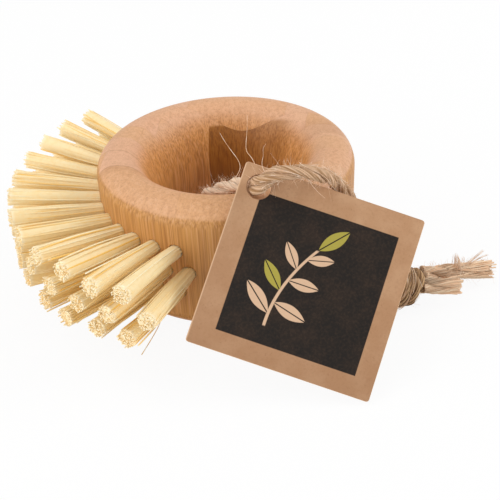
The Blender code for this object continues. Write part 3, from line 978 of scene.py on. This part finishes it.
class BuildStage(bpy.types.Operator):
    """Make the camera, the floor, the sky and the lamps"""

    bl_idname = "scrub_brush.stage"
    bl_label = "Stage"

    def execute(self, context):
        settings = context.scene.scrub_stage
        self.make_camera(context.scene)
        self.make_floor(settings)
        self.make_sky(context.scene, settings)
        for name, place, size in LAMPS:
            self.make_lamp(f"{name}_lamp", place, size, getattr(settings, name))
        return {"FINISHED"}

    def make_camera(self, scene):
        camera = bpy.data.objects.new("photo_camera", bpy.data.cameras.new("photo_camera"))
        camera.data.lens = CAMERA_LENS
        camera.data.sensor_width = CAMERA_SENSOR
        camera.data.clip_start = CAMERA_NEAREST
        camera.data.clip_end = CAMERA_FARTHEST
        heading = math.radians(CAMERA_HEADING)
        fall = math.radians(CAMERA_FALL)
        ahead = Vector((
            math.sin(heading) * math.cos(fall), math.cos(heading) * math.cos(fall), -math.sin(fall)))
        turn = ahead.to_track_quat("-Z", "Y").to_matrix().to_4x4()
        roll = Matrix.Rotation(math.radians(CAMERA_ROLL), 4, "Z")
        camera.matrix_world = Matrix.Translation(CAMERA_PLACE) @ turn @ roll
        scene.collection.objects.link(camera)
        scene.camera = camera
        scene.view_settings.view_transform = "Standard"

    def make_floor(self, settings):
        half = settings.floor
        corners = np.array(((-half, -half, 0), (half, -half, 0), (half, half, 0), (-half, half, 0)))
        make_mesh("floor", corners, [(0, 1, 2, 3)], floor_finish())

    def make_sky(self, scene, settings):
        world = bpy.data.worlds.new("sky")
        world.use_nodes = True
        scene.world = world
        tree = world.node_tree
        back = tree.nodes["Background"]
        back.inputs["Color"].default_value = (1, 1, 1, 1)
        path = tree.nodes.new("ShaderNodeLightPath")
        strength = tree.nodes.new("ShaderNodeMix")
        strength.inputs[2].default_value = settings.sky
        strength.inputs[3].default_value = 1
        tree.links.new(path.outputs["Is Camera Ray"], strength.inputs[0])
        tree.links.new(strength.outputs[0], back.inputs["Strength"])

    def make_lamp(self, name, place, size, power):
        lamp = bpy.data.objects.new(name, bpy.data.lights.new(name, "AREA"))
        lamp.data.size = size
        lamp.data.energy = power
        lamp.location = place
        lamp.rotation_euler = (Vector(AXIS) - Vector(place)).to_track_quat("-Z", "Y").to_euler()
        bpy.context.scene.collection.objects.link(lamp)


# Cord, knot, tails and fuzz


def cord_hole_point(radius):
    """The point on the cord hole's axis at this distance from the ring's axis, measured from that axis."""
    azimuth = math.radians(CORD_HOLE_AZIMUTH)
    return (radius * math.cos(azimuth), radius * math.sin(azimuth), RING_HEIGHT / 2)


def cord_route(leaving_radius, route):
    """A leg's whole route, from the middle of the ring's wall out of the cord hole and on."""
    return (cord_hole_point(WALL_MIDDLE_RADIUS), cord_hole_point(leaving_radius)) + route


def wave(travel, size, rate, start=0.0):
    """A sine of this size and this many radians per metre, from this angle."""
    return size * np.sin(travel * rate + start)


def cord_surface(path, travel, settings, columns=26, loosen=1.0, bundles=2, bundle_depth=0.14):
    """The skins of the yarns of a cord along a path, with the painted shade and the yarn that their material
    reads.

    Each yarn's middle circles the path once per lay. Its section is a circle with a few soft lobes, the
    bundles of fibre in it, which turn the other way along the yarn. loosen widens the cord along the path.
    Shade is painted on a yarn where it faces the cord's middle, down between the yarns, and between its
    bundles.
    """
    plies = settings.plies
    side, up = carried_frames(path)[1:]
    twist = FULL_TURN * travel / settings.lay
    start = FULL_TURN * np.arange(plies)[:, None] / plies
    swing = (start + twist)[..., None]
    widen = loosen * np.ones_like(travel)
    offset = (settings.ply_offset * widen)[:, None] * (side * np.cos(swing) + up * np.sin(swing))
    middles = path + offset
    angle = np.linspace(0, FULL_TURN, columns, endpoint=False)
    fibre_angle = angle + OWN_TWIST * twist[:, None] + start[..., None]
    lobes = abs(np.sin(bundles * fibre_angle + wave(travel, *LOBE_SWAY)[:, None]))
    swell = widen + wave(travel, *SWELL, 2 * start) + wave(travel, *QUICK_SWELL, 5 * start)
    lumps = wave(travel, *LUMPS, 3 * start)[..., None] * np.sin(2 * angle + travel[:, None] * LUMP_TURN)
    bundle = BUNDLE_CROWN - bundle_depth * (1 - np.sqrt(lobes))
    radius = settings.ply_radius * (swell[..., None] * bundle + lumps)
    points = tube_points(middles, radius, columns)
    facing = dot(unit(points - middles[..., None, :]), unit(offset)[..., None, :])[..., 0]
    gap_shade = BUNDLE_GAP_SHADE * bundle_depth * (1 - lobes) ** 4
    # Shade painted where the yarn faces the cord's middle and between its bundles.
    groove = np.maximum(np.clip(CREASE_SHADE_START - facing * CREASE_SHADE_RATE, 0, 1), gap_shade)
    length = np.broadcast_to(travel[:, None], fibre_angle.shape) + YARNS_APART * start[..., None]
    return points, groove, np.stack((np.cos(fibre_angle), np.sin(fibre_angle), length), axis=-1)


def make_yarns(name, skins, material):
    """One mesh of skins, each with its points, painted shade and yarn."""
    points, shades_and_tones, yarns = zip(*skins)
    return make_tubes(name, points, material, {"groove": shades_and_tones}, {"yarn": yarns})


def make_hairs(name, paths, radius, columns, material, slot):
    """Thin tubes along paths, kept above the floor, that ride on the brush."""
    points = tube_points(paths, radius, columns)
    points[..., 2] = np.maximum(points[..., 2], FUZZ_THICKNESS)
    piece = make_tubes(name, [points], material, sharp_angle=40)
    give_to_body(piece, "brush", slot)
    return piece


def knot_coil():
    """The turns wrapped round the knot's strands.

    A circle in the plane across the strands, moved along them as it turns and leaned over, with both ends
    drawn in to the middle.
    """
    first, last = COIL_TURNS
    turn = np.linspace(first, last, 90)
    tuck = np.clip(np.minimum(turn - first, last - turn) / COIL_TUCK, 0, 1)
    radius = COIL_END_RADIUS + (COIL_RADIUS - COIL_END_RADIUS) * np.sin(tuck * math.pi / 2)
    across = radius * np.cos(FULL_TURN * turn)
    rise = radius * np.sin(FULL_TURN * turn)
    lean = rise * math.tan(math.radians(COIL_LEAN)) * COIL_LEAN_SHARE
    return KNOT_PLACE + np.stack((COIL_PITCH * (turn - COIL_MIDDLE_TURN) + lean, across, rise), axis=1)


def knot_strand(start, end):
    """A strand's route through the knot, from its leg to its tail."""
    middle = KNOT_PLACE + 0.25 * (start - KNOT_PLACE)
    return np.array((start, 0.55 * start + 0.45 * middle, 0.5 * middle + 0.5 * end, end))


def fuzz_paths(points, outward, along, count, crowding, generator):
    """Short hairs: each leaves its root outward, leans along the cord and curls, more toward its end.

    crowding above 1 gathers the roots at the cord's start.
    """
    plies, rows, columns = points.shape[:3]
    pick = (
        generator.integers(0, plies, count), (rows * generator.random(count) ** crowding).astype(int),
        generator.integers(0, columns, count))
    length = FUZZ_LENGTH * (0.25 + 0.75 * generator.random((count, 1, 1)) ** 2)
    lean = generator.uniform(-1.0, 1.0, (count, 1))
    curl = generator.normal(0, FUZZ_CURL, (count, 1, 3))
    share = np.linspace(0, 1, FUZZ_ROWS)[:, None]
    straight = unit(outward[pick] + lean * along[pick[1]])[:, None]
    return points[pick][:, None] + length * (share * straight + share ** 2 * curl)


def wisp_paths(path, travel, settings, count, generator):
    """Loose fibres along the cord: each winds round it at nearly the yarns' rate and lifts at its ends."""
    length = generator.uniform(*WISP_LENGTH, (count, 1))
    ahead = np.linspace(0, 1, WISP_ROWS)
    place = generator.random((count, 1)) * (travel[-1] - length) + length * ahead
    line, side, up = (read_along(values, travel, place) for values in (path, *carried_frames(path)[1:]))
    rate = generator.uniform(*WISP_RATE, (count, 1))
    swing = (generator.uniform(0, FULL_TURN, (count, 1)) + FULL_TURN * rate * place / settings.lay)[..., None]
    lift = WISP_LIFT * generator.random((count, 1)) * (2 * ahead - 1) ** 4
    radius = (settings.ply_offset + settings.ply_radius * YARN_FILL + lift)[..., None]
    return line + radius * (side * np.cos(swing) + up * np.sin(swing))


def tail_fibres(path, travel, settings, fullness, splay, uneven, generator):
    """The fibres of an untwisting tail.

    Each fibre has its place in a yarn and each yarn its place in the cord. Both circles turn along the
    path, as the twist does, and widen toward the end, where every fibre also drifts its own way.
    """
    plies = settings.plies
    fibres = plies * TAIL_FIBRES
    share = (travel / travel[-1])[None, :, None]
    reach = share * (1 + uneven * generator.uniform(-1, 0.25, (fibres, 1, 1)))
    along, side, up = carried_frames(path)
    past_end = path[-1] + along[-1] * (reach - 1) * travel[-1]
    place = np.clip(reach, 0, 1)[..., 0] * (len(path) - 1)
    line = np.where(reach > 1, past_end, read_along(path, np.arange(len(path)), place))
    lower = np.minimum(place.astype(int), len(path) - 2)
    side = side[lower]
    up = up[lower]
    ply = np.repeat(np.arange(plies), TAIL_FIBRES)[:, None, None]
    number = np.tile(np.arange(TAIL_FIBRES), plies)[:, None, None]
    fan = splay * np.clip((share - FAN_START) / (1 - FAN_START), 0, 1) ** FAN_CURVE
    twist = FULL_TURN * travel[-1] * share / settings.lay * (1 - UNTWIST * share)
    swing = FULL_TURN * ply / plies + twist
    own = GOLDEN_TURN * number + OWN_TWIST * twist
    own_radius = fullness * settings.ply_radius * YARN_FILL * np.sqrt((number + 0.5) / TAIL_FIBRES)
    offset = fullness * settings.ply_offset * (side * np.cos(swing) + up * np.sin(swing))
    offset = offset + own_radius * (side * np.cos(own) + up * np.sin(own))
    drift = generator.normal(0, TAIL_DRIFT, (fibres, 1, 3)) * fan
    sway = wave(share, *TAIL_WAVE, generator.uniform(0, FULL_TURN, (fibres, 1, 1)))
    return line + offset * (1 + fan) + drift + sway * side


def make_tail(name, route, fullness, splay, uneven, settings, material, generator):
    """A frayed tail. Its fibres hang together in strands, each of one tone, with painted shade darkest by the
    knot.
    """
    path, travel = smooth_route(route, TAIL_STEP)
    paths = tail_fibres(path + AXIS, travel, settings, fullness, splay, uneven, generator)
    each = (len(paths), 1, 1)
    radius = TAIL_FIBRE_RADIUS * generator.uniform(*TAIL_FIBRE_UNEVEN, each)
    points = tube_points(paths, radius, TAIL_COLUMNS)
    sector = (GOLDEN_TURN * np.arange(TAIL_FIBRES) % FULL_TURN / FULL_TURN * TAIL_STRANDS).astype(int)
    strand = (TAIL_STRANDS * np.arange(settings.plies)[:, None] + sector).ravel()
    strand_tone = generator.random(TAIL_STRANDS * settings.plies)[strand][:, None, None]
    tone = strand_tone * STRANDS_APART + generator.random(each)
    angle = np.linspace(0, FULL_TURN, TAIL_COLUMNS, endpoint=False)
    length = travel[None, :, None]
    yarn = np.stack(np.broadcast_arrays(
        np.cos(angle) * FIBRE_ROUND + tone, np.sin(angle) * FIBRE_ROUND + tone, length), axis=-1)
    # Shade painted on the fibres next to the knot.
    by_knot = SHADE_BY_KNOT * np.exp(-length / SHADE_BY_KNOT_LENGTH)
    groove = by_knot + STRAND_SHADE * strand_tone ** 3 + FIBRE_SHADE * generator.random(each) ** 3
    tail = make_yarns(f"frayed_tail_{name}", [(points, groove, yarn)], material)
    give_to_body(tail, "brush", "jute", f"tail_{name}")
    return tail


class BuildCord(bpy.types.Operator):
    """Make the twisted cord, its knot, its frayed tails and its fuzz"""

    bl_idname = "scrub_brush.cord"
    bl_label = "Jute cord"

    def execute(self, context):
        settings = context.scene.scrub_cord
        generator = np.random.default_rng(11)
        jute = jute_finish("jute_yarn", settings.pale, settings.brown, settings)
        # The tails' own copy of the jute, paler: painted light on their self-shadowed fibres.
        frayed = jute_finish("frayed_jute", settings.fray_pale_painted_light, settings.fray_brown_painted_light, settings)
        # The knot's own copy of the jute, with shade painted into its browns.
        knotted_painted_shade = jute_finish("knotted_jute", settings.knot_pale, settings.knot_brown_painted_shade, settings)
        hair = hair_finish("jute_hair", settings.fuzz, settings.pale)
        inner, inner_travel = smooth_route(cord_route(THROAT_RADIUS, INNER_ROUTE), CORD_STEP)
        outer, outer_travel = smooth_route(cord_route(RING_RADIUS, OUTER_ROUTE), CORD_STEP)
        from_tag = np.linalg.norm(inner - TAG_PLACE, axis=1)
        loosen = 1 + LOOSENED_BY * np.exp(-(from_tag / LOOSENED_OVER) ** 2)
        inner_skin = cord_surface(inner + AXIS, inner_travel, settings, loosen=loosen)
        outer_skin = cord_surface(outer + AXIS, outer_travel, settings)
        inner_cord = make_yarns("hang_cord_inner", [inner_skin], jute)
        outer_cord = make_yarns("hang_cord_outer", [outer_skin], jute)
        knot = self.make_knot((inner[-1], outer[-1]), settings, knotted_painted_shade)
        tails = [make_tail(*tail, settings, frayed, generator) for tail in TAILS]

        coil = knot_coil()
        runs = {
            "inner": (inner, inner_travel),
            "outer": (outer, outer_travel),
            "tail": smooth_route(LONG_TAIL_ROUTE, TAIL_STEP),
            "knot": (coil, path_travel(coil)),
        }
        fuzz = [
            self.make_fuzz(name, *run, *FUZZ_RUNS[name], settings, hair, generator)
            for name, run in runs.items()]
        hairs = self.make_long_hairs(hair, generator)
        give_to_body(inner_cord, "brush", "jute", "cord_inner")
        give_to_body(outer_cord, "brush", "jute", "cord_outer")
        give_to_body(knot, "brush", "jute", "knot")

        AXIS + cord_hole_point(THROAT_RADIUS)
        AXIS + cord_hole_point(RING_RADIUS)
        return {"FINISHED"}

    def make_knot(self, leg_ends, settings, material):
        """The coil, and under it each leg's strand on its way to its tail."""
        coil = knot_coil()
        runs = [(coil, path_travel(coil))]
        for leg_end, tail_route in zip(leg_ends, (LONG_TAIL_ROUTE, SHORT_TAIL_ROUTE)):
            runs.append(smooth_route(knot_strand(leg_end, np.array(tail_route[0])), CORD_STEP))
        least, depth = KNOT_PAINTED_SHADE
        skins = []
        for path, travel in runs:
            points, groove, yarn = cord_surface(path + AXIS, travel, settings, **KNOT_YARNS)
            # Shade painted over the whole knot, deepest in its creases.
            skins.append((points, np.clip(least + depth * groove, 0, 1), yarn))
        return make_yarns("overhand_knot", skins, material)

    def make_fuzz(self, name, path, travel, hair_share, wisp_share, crowding, settings, material, generator):
        """The hairs and the loose fibres of one run of cord."""
        points = cord_surface(path, travel, settings, columns=12)[0] + AXIS
        outward = unit(points - (path + AXIS)[:, None])
        count = round(settings.hairs * hair_share)
        paths = fuzz_paths(points, outward, carried_frames(path)[0], count, crowding, generator)
        taper = np.linspace(1, FUZZ_TIP, FUZZ_ROWS)[:, None]
        hairs = make_hairs(f"{name}_fuzz", paths, FUZZ_THICKNESS / 2 * taper, 3, material, "jute")
        lines = wisp_paths(path, travel, settings, round(settings.wisps * wisp_share), generator) + AXIS
        make_hairs(f"{name}_wisps", lines, WISP_RADIUS, 4, material, "jute")
        return hairs

    def make_long_hairs(self, material, generator):
        """Each lock's fibres keep their places beside its route, but nearer or farther apart by its tip."""
        share = np.linspace(0, 1, LOCK_ROWS)
        locks = []
        radii = []
        for count, root_spread, tip_spread, thickness, route in CORD_LOCKS:
            curve, travel = smooth_route(route, 0.0004)
            spread = root_spread + (tip_spread - root_spread) * share[:, None]
            away = generator.normal(0, 1, (count, 1, 3)) * spread
            locks.append(read_along(curve, travel, share * travel[-1]) + away)
            radii.append(np.full((count, 1, 1), thickness / 2))
        taper = np.linspace(1, LOCK_TIP, LOCK_ROWS)[:, None] * np.concatenate(radii)
        return make_hairs("long_hairs", np.concatenate(locks) + AXIS, taper, 4, material, "jute")


# Ring handle


def ring_section():
    """Radius and height round the ring's section: upper rim, outer wall, lower rim, then up the flared hole.

    Each rim is a quarter ellipse. The hole's radius is the throat plus the crest's reach times one minus
    the cosine of an angle whose sine is the height, so the wall lies tangent to both faces.
    """
    rim = np.linspace(0, math.pi / 2, RIM_ROWS + 1)
    rim_radius = RING_RADIUS - RIM_WIDTH * (1 - np.sin(rim))
    rim_height = RING_HEIGHT - RIM_HEIGHT * (1 - np.cos(rim))
    wall = np.linspace(RING_HEIGHT - RIM_HEIGHT, RIM_HEIGHT, WALL_ROWS + 1)[1:-1]
    flare = np.linspace(-math.pi / 2, math.pi / 2, FLARE_ROWS + 1)
    flare_radius = THROAT_RADIUS + (CREST_RADIUS - THROAT_RADIUS) * (1 - np.cos(flare))
    flare_height = RING_HEIGHT / 2 * (1 + np.sin(flare))
    radius = np.concatenate((rim_radius, np.full(len(wall), RING_RADIUS), rim_radius[::-1], flare_radius))
    height = np.concatenate((rim_height, wall, RING_HEIGHT - rim_height[::-1], flare_height))
    return radius, height


def tuft_places():
    """For each tuft its name, its place on the outer wall and its direction, as in the part's source."""
    widest = max(count for row_name, count, row in TUFT_ROWS)
    fan_end = TUFT_PITCH * (widest - 1) / 2
    names = []
    angles = []
    rows = []
    for row_name, count, row in TUFT_ROWS:
        names += [f"{row_name}_{index + 1:02d}" for index in range(count)]
        angles.append(TUFT_PITCH * (np.arange(count) - (count - 1) / 2))
        rows.append(np.full(count, row))
    angle = np.concatenate(angles)
    row = np.concatenate(rows)
    tilt = np.radians(TUFT_TILT + row * ROW_TILT_STEP)
    seat = np.radians(180 + angle)
    heading = np.radians(180 + angle - FRONT_LEAN * (np.maximum(angle, 0) / fan_end) ** 3)
    height = RING_HEIGHT / 2 + row * ROW_SPACING
    origin = np.stack((RING_RADIUS * np.cos(seat), RING_RADIUS * np.sin(seat), height), axis=1) + AXIS
    direction = np.stack((
        np.cos(heading) * np.cos(tilt), np.sin(heading) * np.cos(tilt), np.sin(tilt)), axis=1)
    return names, origin, direction


class BuildRing(bpy.types.Operator):
    """Make the turned bamboo ring with its bored holes"""

    bl_idname = "scrub_brush.ring"
    bl_label = "Bamboo ring"

    def execute(self, context):
        radius, height = ring_section()
        azimuth = np.linspace(0, FULL_TURN, RING_COLUMNS, endpoint=False)
        points = np.stack((
            radius[:, None] * np.cos(azimuth), radius[:, None] * np.sin(azimuth),
            height[:, None] + 0 * azimuth), axis=-1) + AXIS
        faces = ring_faces(len(radius), RING_COLUMNS)
        ring = make_mesh("bamboo_ring", points, faces, bamboo_finish(context.scene.scrub_bamboo))
        self.bore_holes(ring)
        give_to_body(ring, "brush", "bamboo", "ring_handle")
        return {"FINISHED"}

    def bore_holes(self, ring):
        """Cuts a blind hole for each tuft and one through hole for the cord."""
        origin, direction = tuft_places()[1:]
        bottom = origin - direction * TUFT_HOLE_DEPTH
        top = origin + direction * CUTTER_OVERRUN
        tuft_bores = tube_points(np.stack((bottom, top), axis=1), TUFT_HOLE_RADIUS, HOLE_COLUMNS)
        inside = AXIS + cord_hole_point(THROAT_RADIUS - CUTTER_OVERRUN)
        outside = AXIS + cord_hole_point(RING_RADIUS + CUTTER_OVERRUN)
        cord_bore = tube_points(np.array([[inside, outside]]), CORD_HOLE_RADIUS, HOLE_COLUMNS)
        cutter = make_tubes("bores", (tuft_bores, cord_bore), ring.data.materials[0])
        cut = ring.modifiers.new("bores", "BOOLEAN")
        cut.operation = "DIFFERENCE"
        cut.solver = "EXACT"
        cut.object = cutter
        bpy.context.view_layer.update()
        shaped = ring.evaluated_get(bpy.context.evaluated_depsgraph_get())
        mesh = bpy.data.meshes.new_from_object(shaped)
        ring.modifiers.clear()
        ring.data = mesh
        mesh.set_sharp_from_angle(angle=math.radians(40))
        bpy.data.objects.remove(cutter)


# Tufts


def tuft_paths(origin, direction, settings, generator):
    """Middle lines of one tuft's fibres, (fibres, rows, 3), and of its packed core, (1, rows, 3).

    The roots fill a disc in a sunflower pattern. Past the wall each fibre keeps its share of a disc that
    widens evenly to the tip, bows a little, and ends near the tuft's length. The tuft as a whole leans a
    little more toward its tip.
    """
    count = settings.fibres
    number = np.arange(count)
    disc = np.sqrt((number + 0.5) / count)
    angle = GOLDEN_TURN * number + generator.uniform(0, FULL_TURN)
    side = unit(np.cross(direction, (0, 0, 1)))
    up = np.cross(side, direction)
    spoke = (np.cos(angle)[:, None] * side + np.sin(angle)[:, None] * up) * disc[:, None]
    length = TUFT_LENGTH * (1 - FIBRE_SHORTER * generator.random(count) ** 2)
    rise = np.concatenate(([-TUFT_ROOT_DEPTH, 0.0], np.linspace(FIRST_FIBRE_ROW, 1, FIBRE_ROWS)))
    height = np.where(rise > 0, rise * length[:, None], rise)
    share = np.clip(rise, 0, 1)[:, None]
    inner_radius = settings.root_radius - settings.thickness / 2
    outer_radius = settings.tip_radius * generator.uniform(*TIP_UNEVEN) - settings.thickness / 2
    spread = inner_radius + (outer_radius - inner_radius) * share
    wander = generator.normal(0, FIBRE_WANDER, (count, 1, 2))
    bow = generator.normal(0, FIBRE_BOW, (count, 1, 2))
    loose = generator.random((count, 1, 1)) < LOOSE_SHARE
    wander = wander * np.where(loose, LOOSE_WANDER, 1.0)
    lean = generator.normal(0, TUFT_LEAN, (1, 1, 2)) * share ** 2
    shift = lean + wander * share ** 1.5 + bow * np.sin(math.pi * share)
    fibres = (
        origin + spoke[:, None] * spread + direction * height[..., None]
        + shift[..., :1] * side + shift[..., 1:] * up)
    core = origin + direction * (share * CORE_LENGTH) + lean[..., :1] * side + lean[..., 1:] * up
    return fibres, core[:, 1:]


class BuildTufts(bpy.types.Operator):
    """Make the three rows of fibre tufts"""

    bl_idname = "scrub_brush.tufts"
    bl_label = "Fibre tufts"

    def execute(self, context):
        settings = context.scene.scrub_tufts
        material = fibre_finish(settings)
        generator = np.random.default_rng(5)
        for name, origin, direction in zip(*tuft_places()):
            paths, core_path = tuft_paths(origin, direction, settings, generator)
            count, rows = paths.shape[:2]
            thickness = generator.uniform(*FIBRE_UNEVEN, (count, 1, 1))
            fibres = tube_points(paths, settings.thickness / 2 * thickness, FIBRE_COLUMNS)
            core_radius = np.linspace(settings.root_radius, settings.tip_radius, rows - 1) * settings.core
            core = tube_points(core_path, core_radius[:, None], CORE_COLUMNS)
            shades = (generator.beta(*SHADE_SPREAD, (count, 1, 1)), CORE_SHADE)
            tips = [np.linspace(0, 1, length)[:, None] for length in (rows, rows - 1)]
            numbers = {"fibre_shade": shades, "fibre_tip": tips}
            piece = make_tubes(f"fibres_{name}", (fibres, core), material, numbers)
            give_to_body(piece, "brush", "plant_fibre", f"tuft_{name}")
        self.make_stray_fibres(settings)
        return {"FINISHED"}

    def make_stray_fibres(self, settings):
        """The three fibres that stand away from the tufts."""
        radii, routes = zip(*STRAY_FIBRES)
        curves = [smooth_route(route, 0.0008)[0] for route in routes]
        share = np.linspace(0, 1, STRAY_ROWS)
        paths = [read_along(curve, np.linspace(0, 1, len(curve)), share) for curve in curves]
        material = hair_finish("stray_fibre", settings.light, settings.deep)
        radius = np.array(radii)[:, None, None]
        make_hairs("stray_fibres", np.stack(paths) + AXIS, radius, FIBRE_COLUMNS, material, "plant_fibre")


# Tag


def tag_rays():
    """Points round the tag's rounded square, and the points of the punched hole at the same angles."""
    left = -TAG_HOLE_FROM_SIDE + TAG_CORNER_RADIUS
    right = TAG_SIDE - TAG_HOLE_FROM_SIDE - TAG_CORNER_RADIUS
    top = TAG_HOLE_FROM_TOP - TAG_CORNER_RADIUS
    bottom = TAG_HOLE_FROM_TOP - TAG_SIDE + TAG_CORNER_RADIUS
    centres = np.array(((right, top), (left, top), (left, bottom), (right, bottom)))
    turn = np.linspace(0, math.pi / 2, TAG_CORNER_STEPS)
    angle = turn + math.pi / 2 * np.arange(4)[:, None]
    arcs = centres[:, None] + TAG_CORNER_RADIUS * np.stack((np.cos(angle), np.sin(angle)), axis=-1)
    ahead = np.linspace(0, 1, TAG_SIDE_STEPS + 1)[1:-1, None]
    sides = arcs[:, None, -1] * (1 - ahead) + np.roll(arcs, -1, axis=0)[:, None, 0] * ahead
    outline = np.concatenate((arcs, sides), axis=1).reshape(-1, 2)
    return outline, TAG_HOLE_RADIUS * unit(outline)


def tag_section():
    """Round the card's section from the hole's front edge: share of the way out, inset and height."""
    half = TAG_THICKNESS / 2
    low = half - TAG_SOFT_EDGE
    out = np.linspace(0, 1, TAG_FACE_STEPS + 1)
    inset = np.zeros(TAG_FACE_STEPS + 1)
    inset[0] = TAG_SOFT_EDGE
    inset[-1] = -TAG_SOFT_EDGE
    front = np.stack((out, inset, np.full(TAG_FACE_STEPS + 1, half)), axis=1)
    back = front[::-1] * np.array((1, 1, -1))
    rim = np.array(((1, 0, low), (1, 0, -low)))
    bore = np.array(((0, 0, -low), (0, 0, low)))
    return np.concatenate((front, rim, back, bore))


class BuildTag(bpy.types.Operator):
    """Make the kraft card tag with its printed square"""

    bl_idname = "scrub_brush.tag"
    bl_label = "Card tag"

    def execute(self, context):
        outline, hole = tag_rays()
        section = tag_section()
        outward = unit(outline)
        flat = hole + (outline - hole) * section[:, None, :1] + outward * section[:, None, 1:2]
        height = np.broadcast_to(section[:, None, 2:], (*flat.shape[:2], 1))
        local = np.concatenate((flat, height), axis=-1)
        turn = (
            Matrix.Rotation(math.radians(TAG_TURN), 3, "Z")
            @ Matrix.Rotation(math.radians(TAG_LEAN), 3, "X")
            @ Matrix.Rotation(math.radians(TAG_ROLL), 3, "Z"))
        points = local @ np.array(turn).T + np.array(TAG_PLACE) + AXIS
        faces = ring_faces(*flat.shape[:2])
        tag = make_mesh("swing_tag", points, faces, card_finish(context.scene.scrub_tag))
        self.unwrap(tag.data, local)
        give_to_body(tag, "tag_swinging", "kraft_card", "tag")
        return {"FINISHED"}

    def unwrap(self, mesh, local):
        """The card's front on the unit square of its map, its cut edges and its back to the right of it."""
        corner = np.array((TAG_HOLE_FROM_SIDE, TAG_SIDE - TAG_HOLE_FROM_TOP))
        flat = ((local[..., :2] + corner) / TAG_SIDE).reshape(-1, 2)
        level = np.sign(local[..., 2]) * (abs(local[..., 2]) > TAG_FACE_LEVEL)
        corners = np.empty(len(mesh.loops), dtype=np.int32)
        mesh.loops.foreach_get("vertex_index", corners)
        face_level = level.ravel()[corners].reshape(-1, 4).mean(axis=1)
        beside = np.where(face_level == 1, 0, np.where(face_level == -1, CARD_BACK, CUT_EDGES))
        places = flat[corners]
        places[:, 0] += np.repeat(beside, 4)
        mesh.uv_layers.new(name="card").data.foreach_set("uv", places.ravel())


class ScrubBrushPanel(bpy.types.Panel):
    """Lists the pieces of the scrub brush and what can be changed on each"""

    bl_idname = "VIEW3D_PT_scrub_brush"
    bl_label = "Scrub brush"
    bl_space_type = "VIEW_3D"
    bl_region_type = "UI"
    bl_category = "Scrub brush"

    def draw(self, context):
        for label, group, operator in STEPS:
            box = self.layout.box()
            box.operator(operator)
            settings = getattr(context.scene, label)
            for name in group.__annotations__:
                box.prop(settings, name)


STEPS = (
    ("scrub_stage", StageSettings, "scrub_brush.stage"),
    ("scrub_cord", CordSettings, "scrub_brush.cord"),
    ("scrub_bamboo", BambooSettings, "scrub_brush.ring"),
    ("scrub_tufts", TuftSettings, "scrub_brush.tufts"),
    ("scrub_tag", TagSettings, "scrub_brush.tag"),
)
CLASSES = (
    StageSettings, CordSettings, BambooSettings, TuftSettings, TagSettings,
    BuildStage, BuildCord, BuildRing, BuildTufts, BuildTag, ScrubBrushPanel,
)


def register():
    for made_class in CLASSES:
        bpy.utils.register_class(made_class)
    for label, group, operator in STEPS:
        setattr(bpy.types.Scene, label, PointerProperty(type=group))


def unregister():
    for label, group, operator in STEPS:
        delattr(bpy.types.Scene, label)
    for made_class in reversed(CLASSES):
        bpy.utils.unregister_class(made_class)


def main():
    register()
    bpy.ops.scrub_brush.stage()
    bpy.ops.scrub_brush.cord()
    bpy.ops.scrub_brush.ring()
    bpy.ops.scrub_brush.tufts()
    bpy.ops.scrub_brush.tag()


if __name__ == "__main__":
    main()
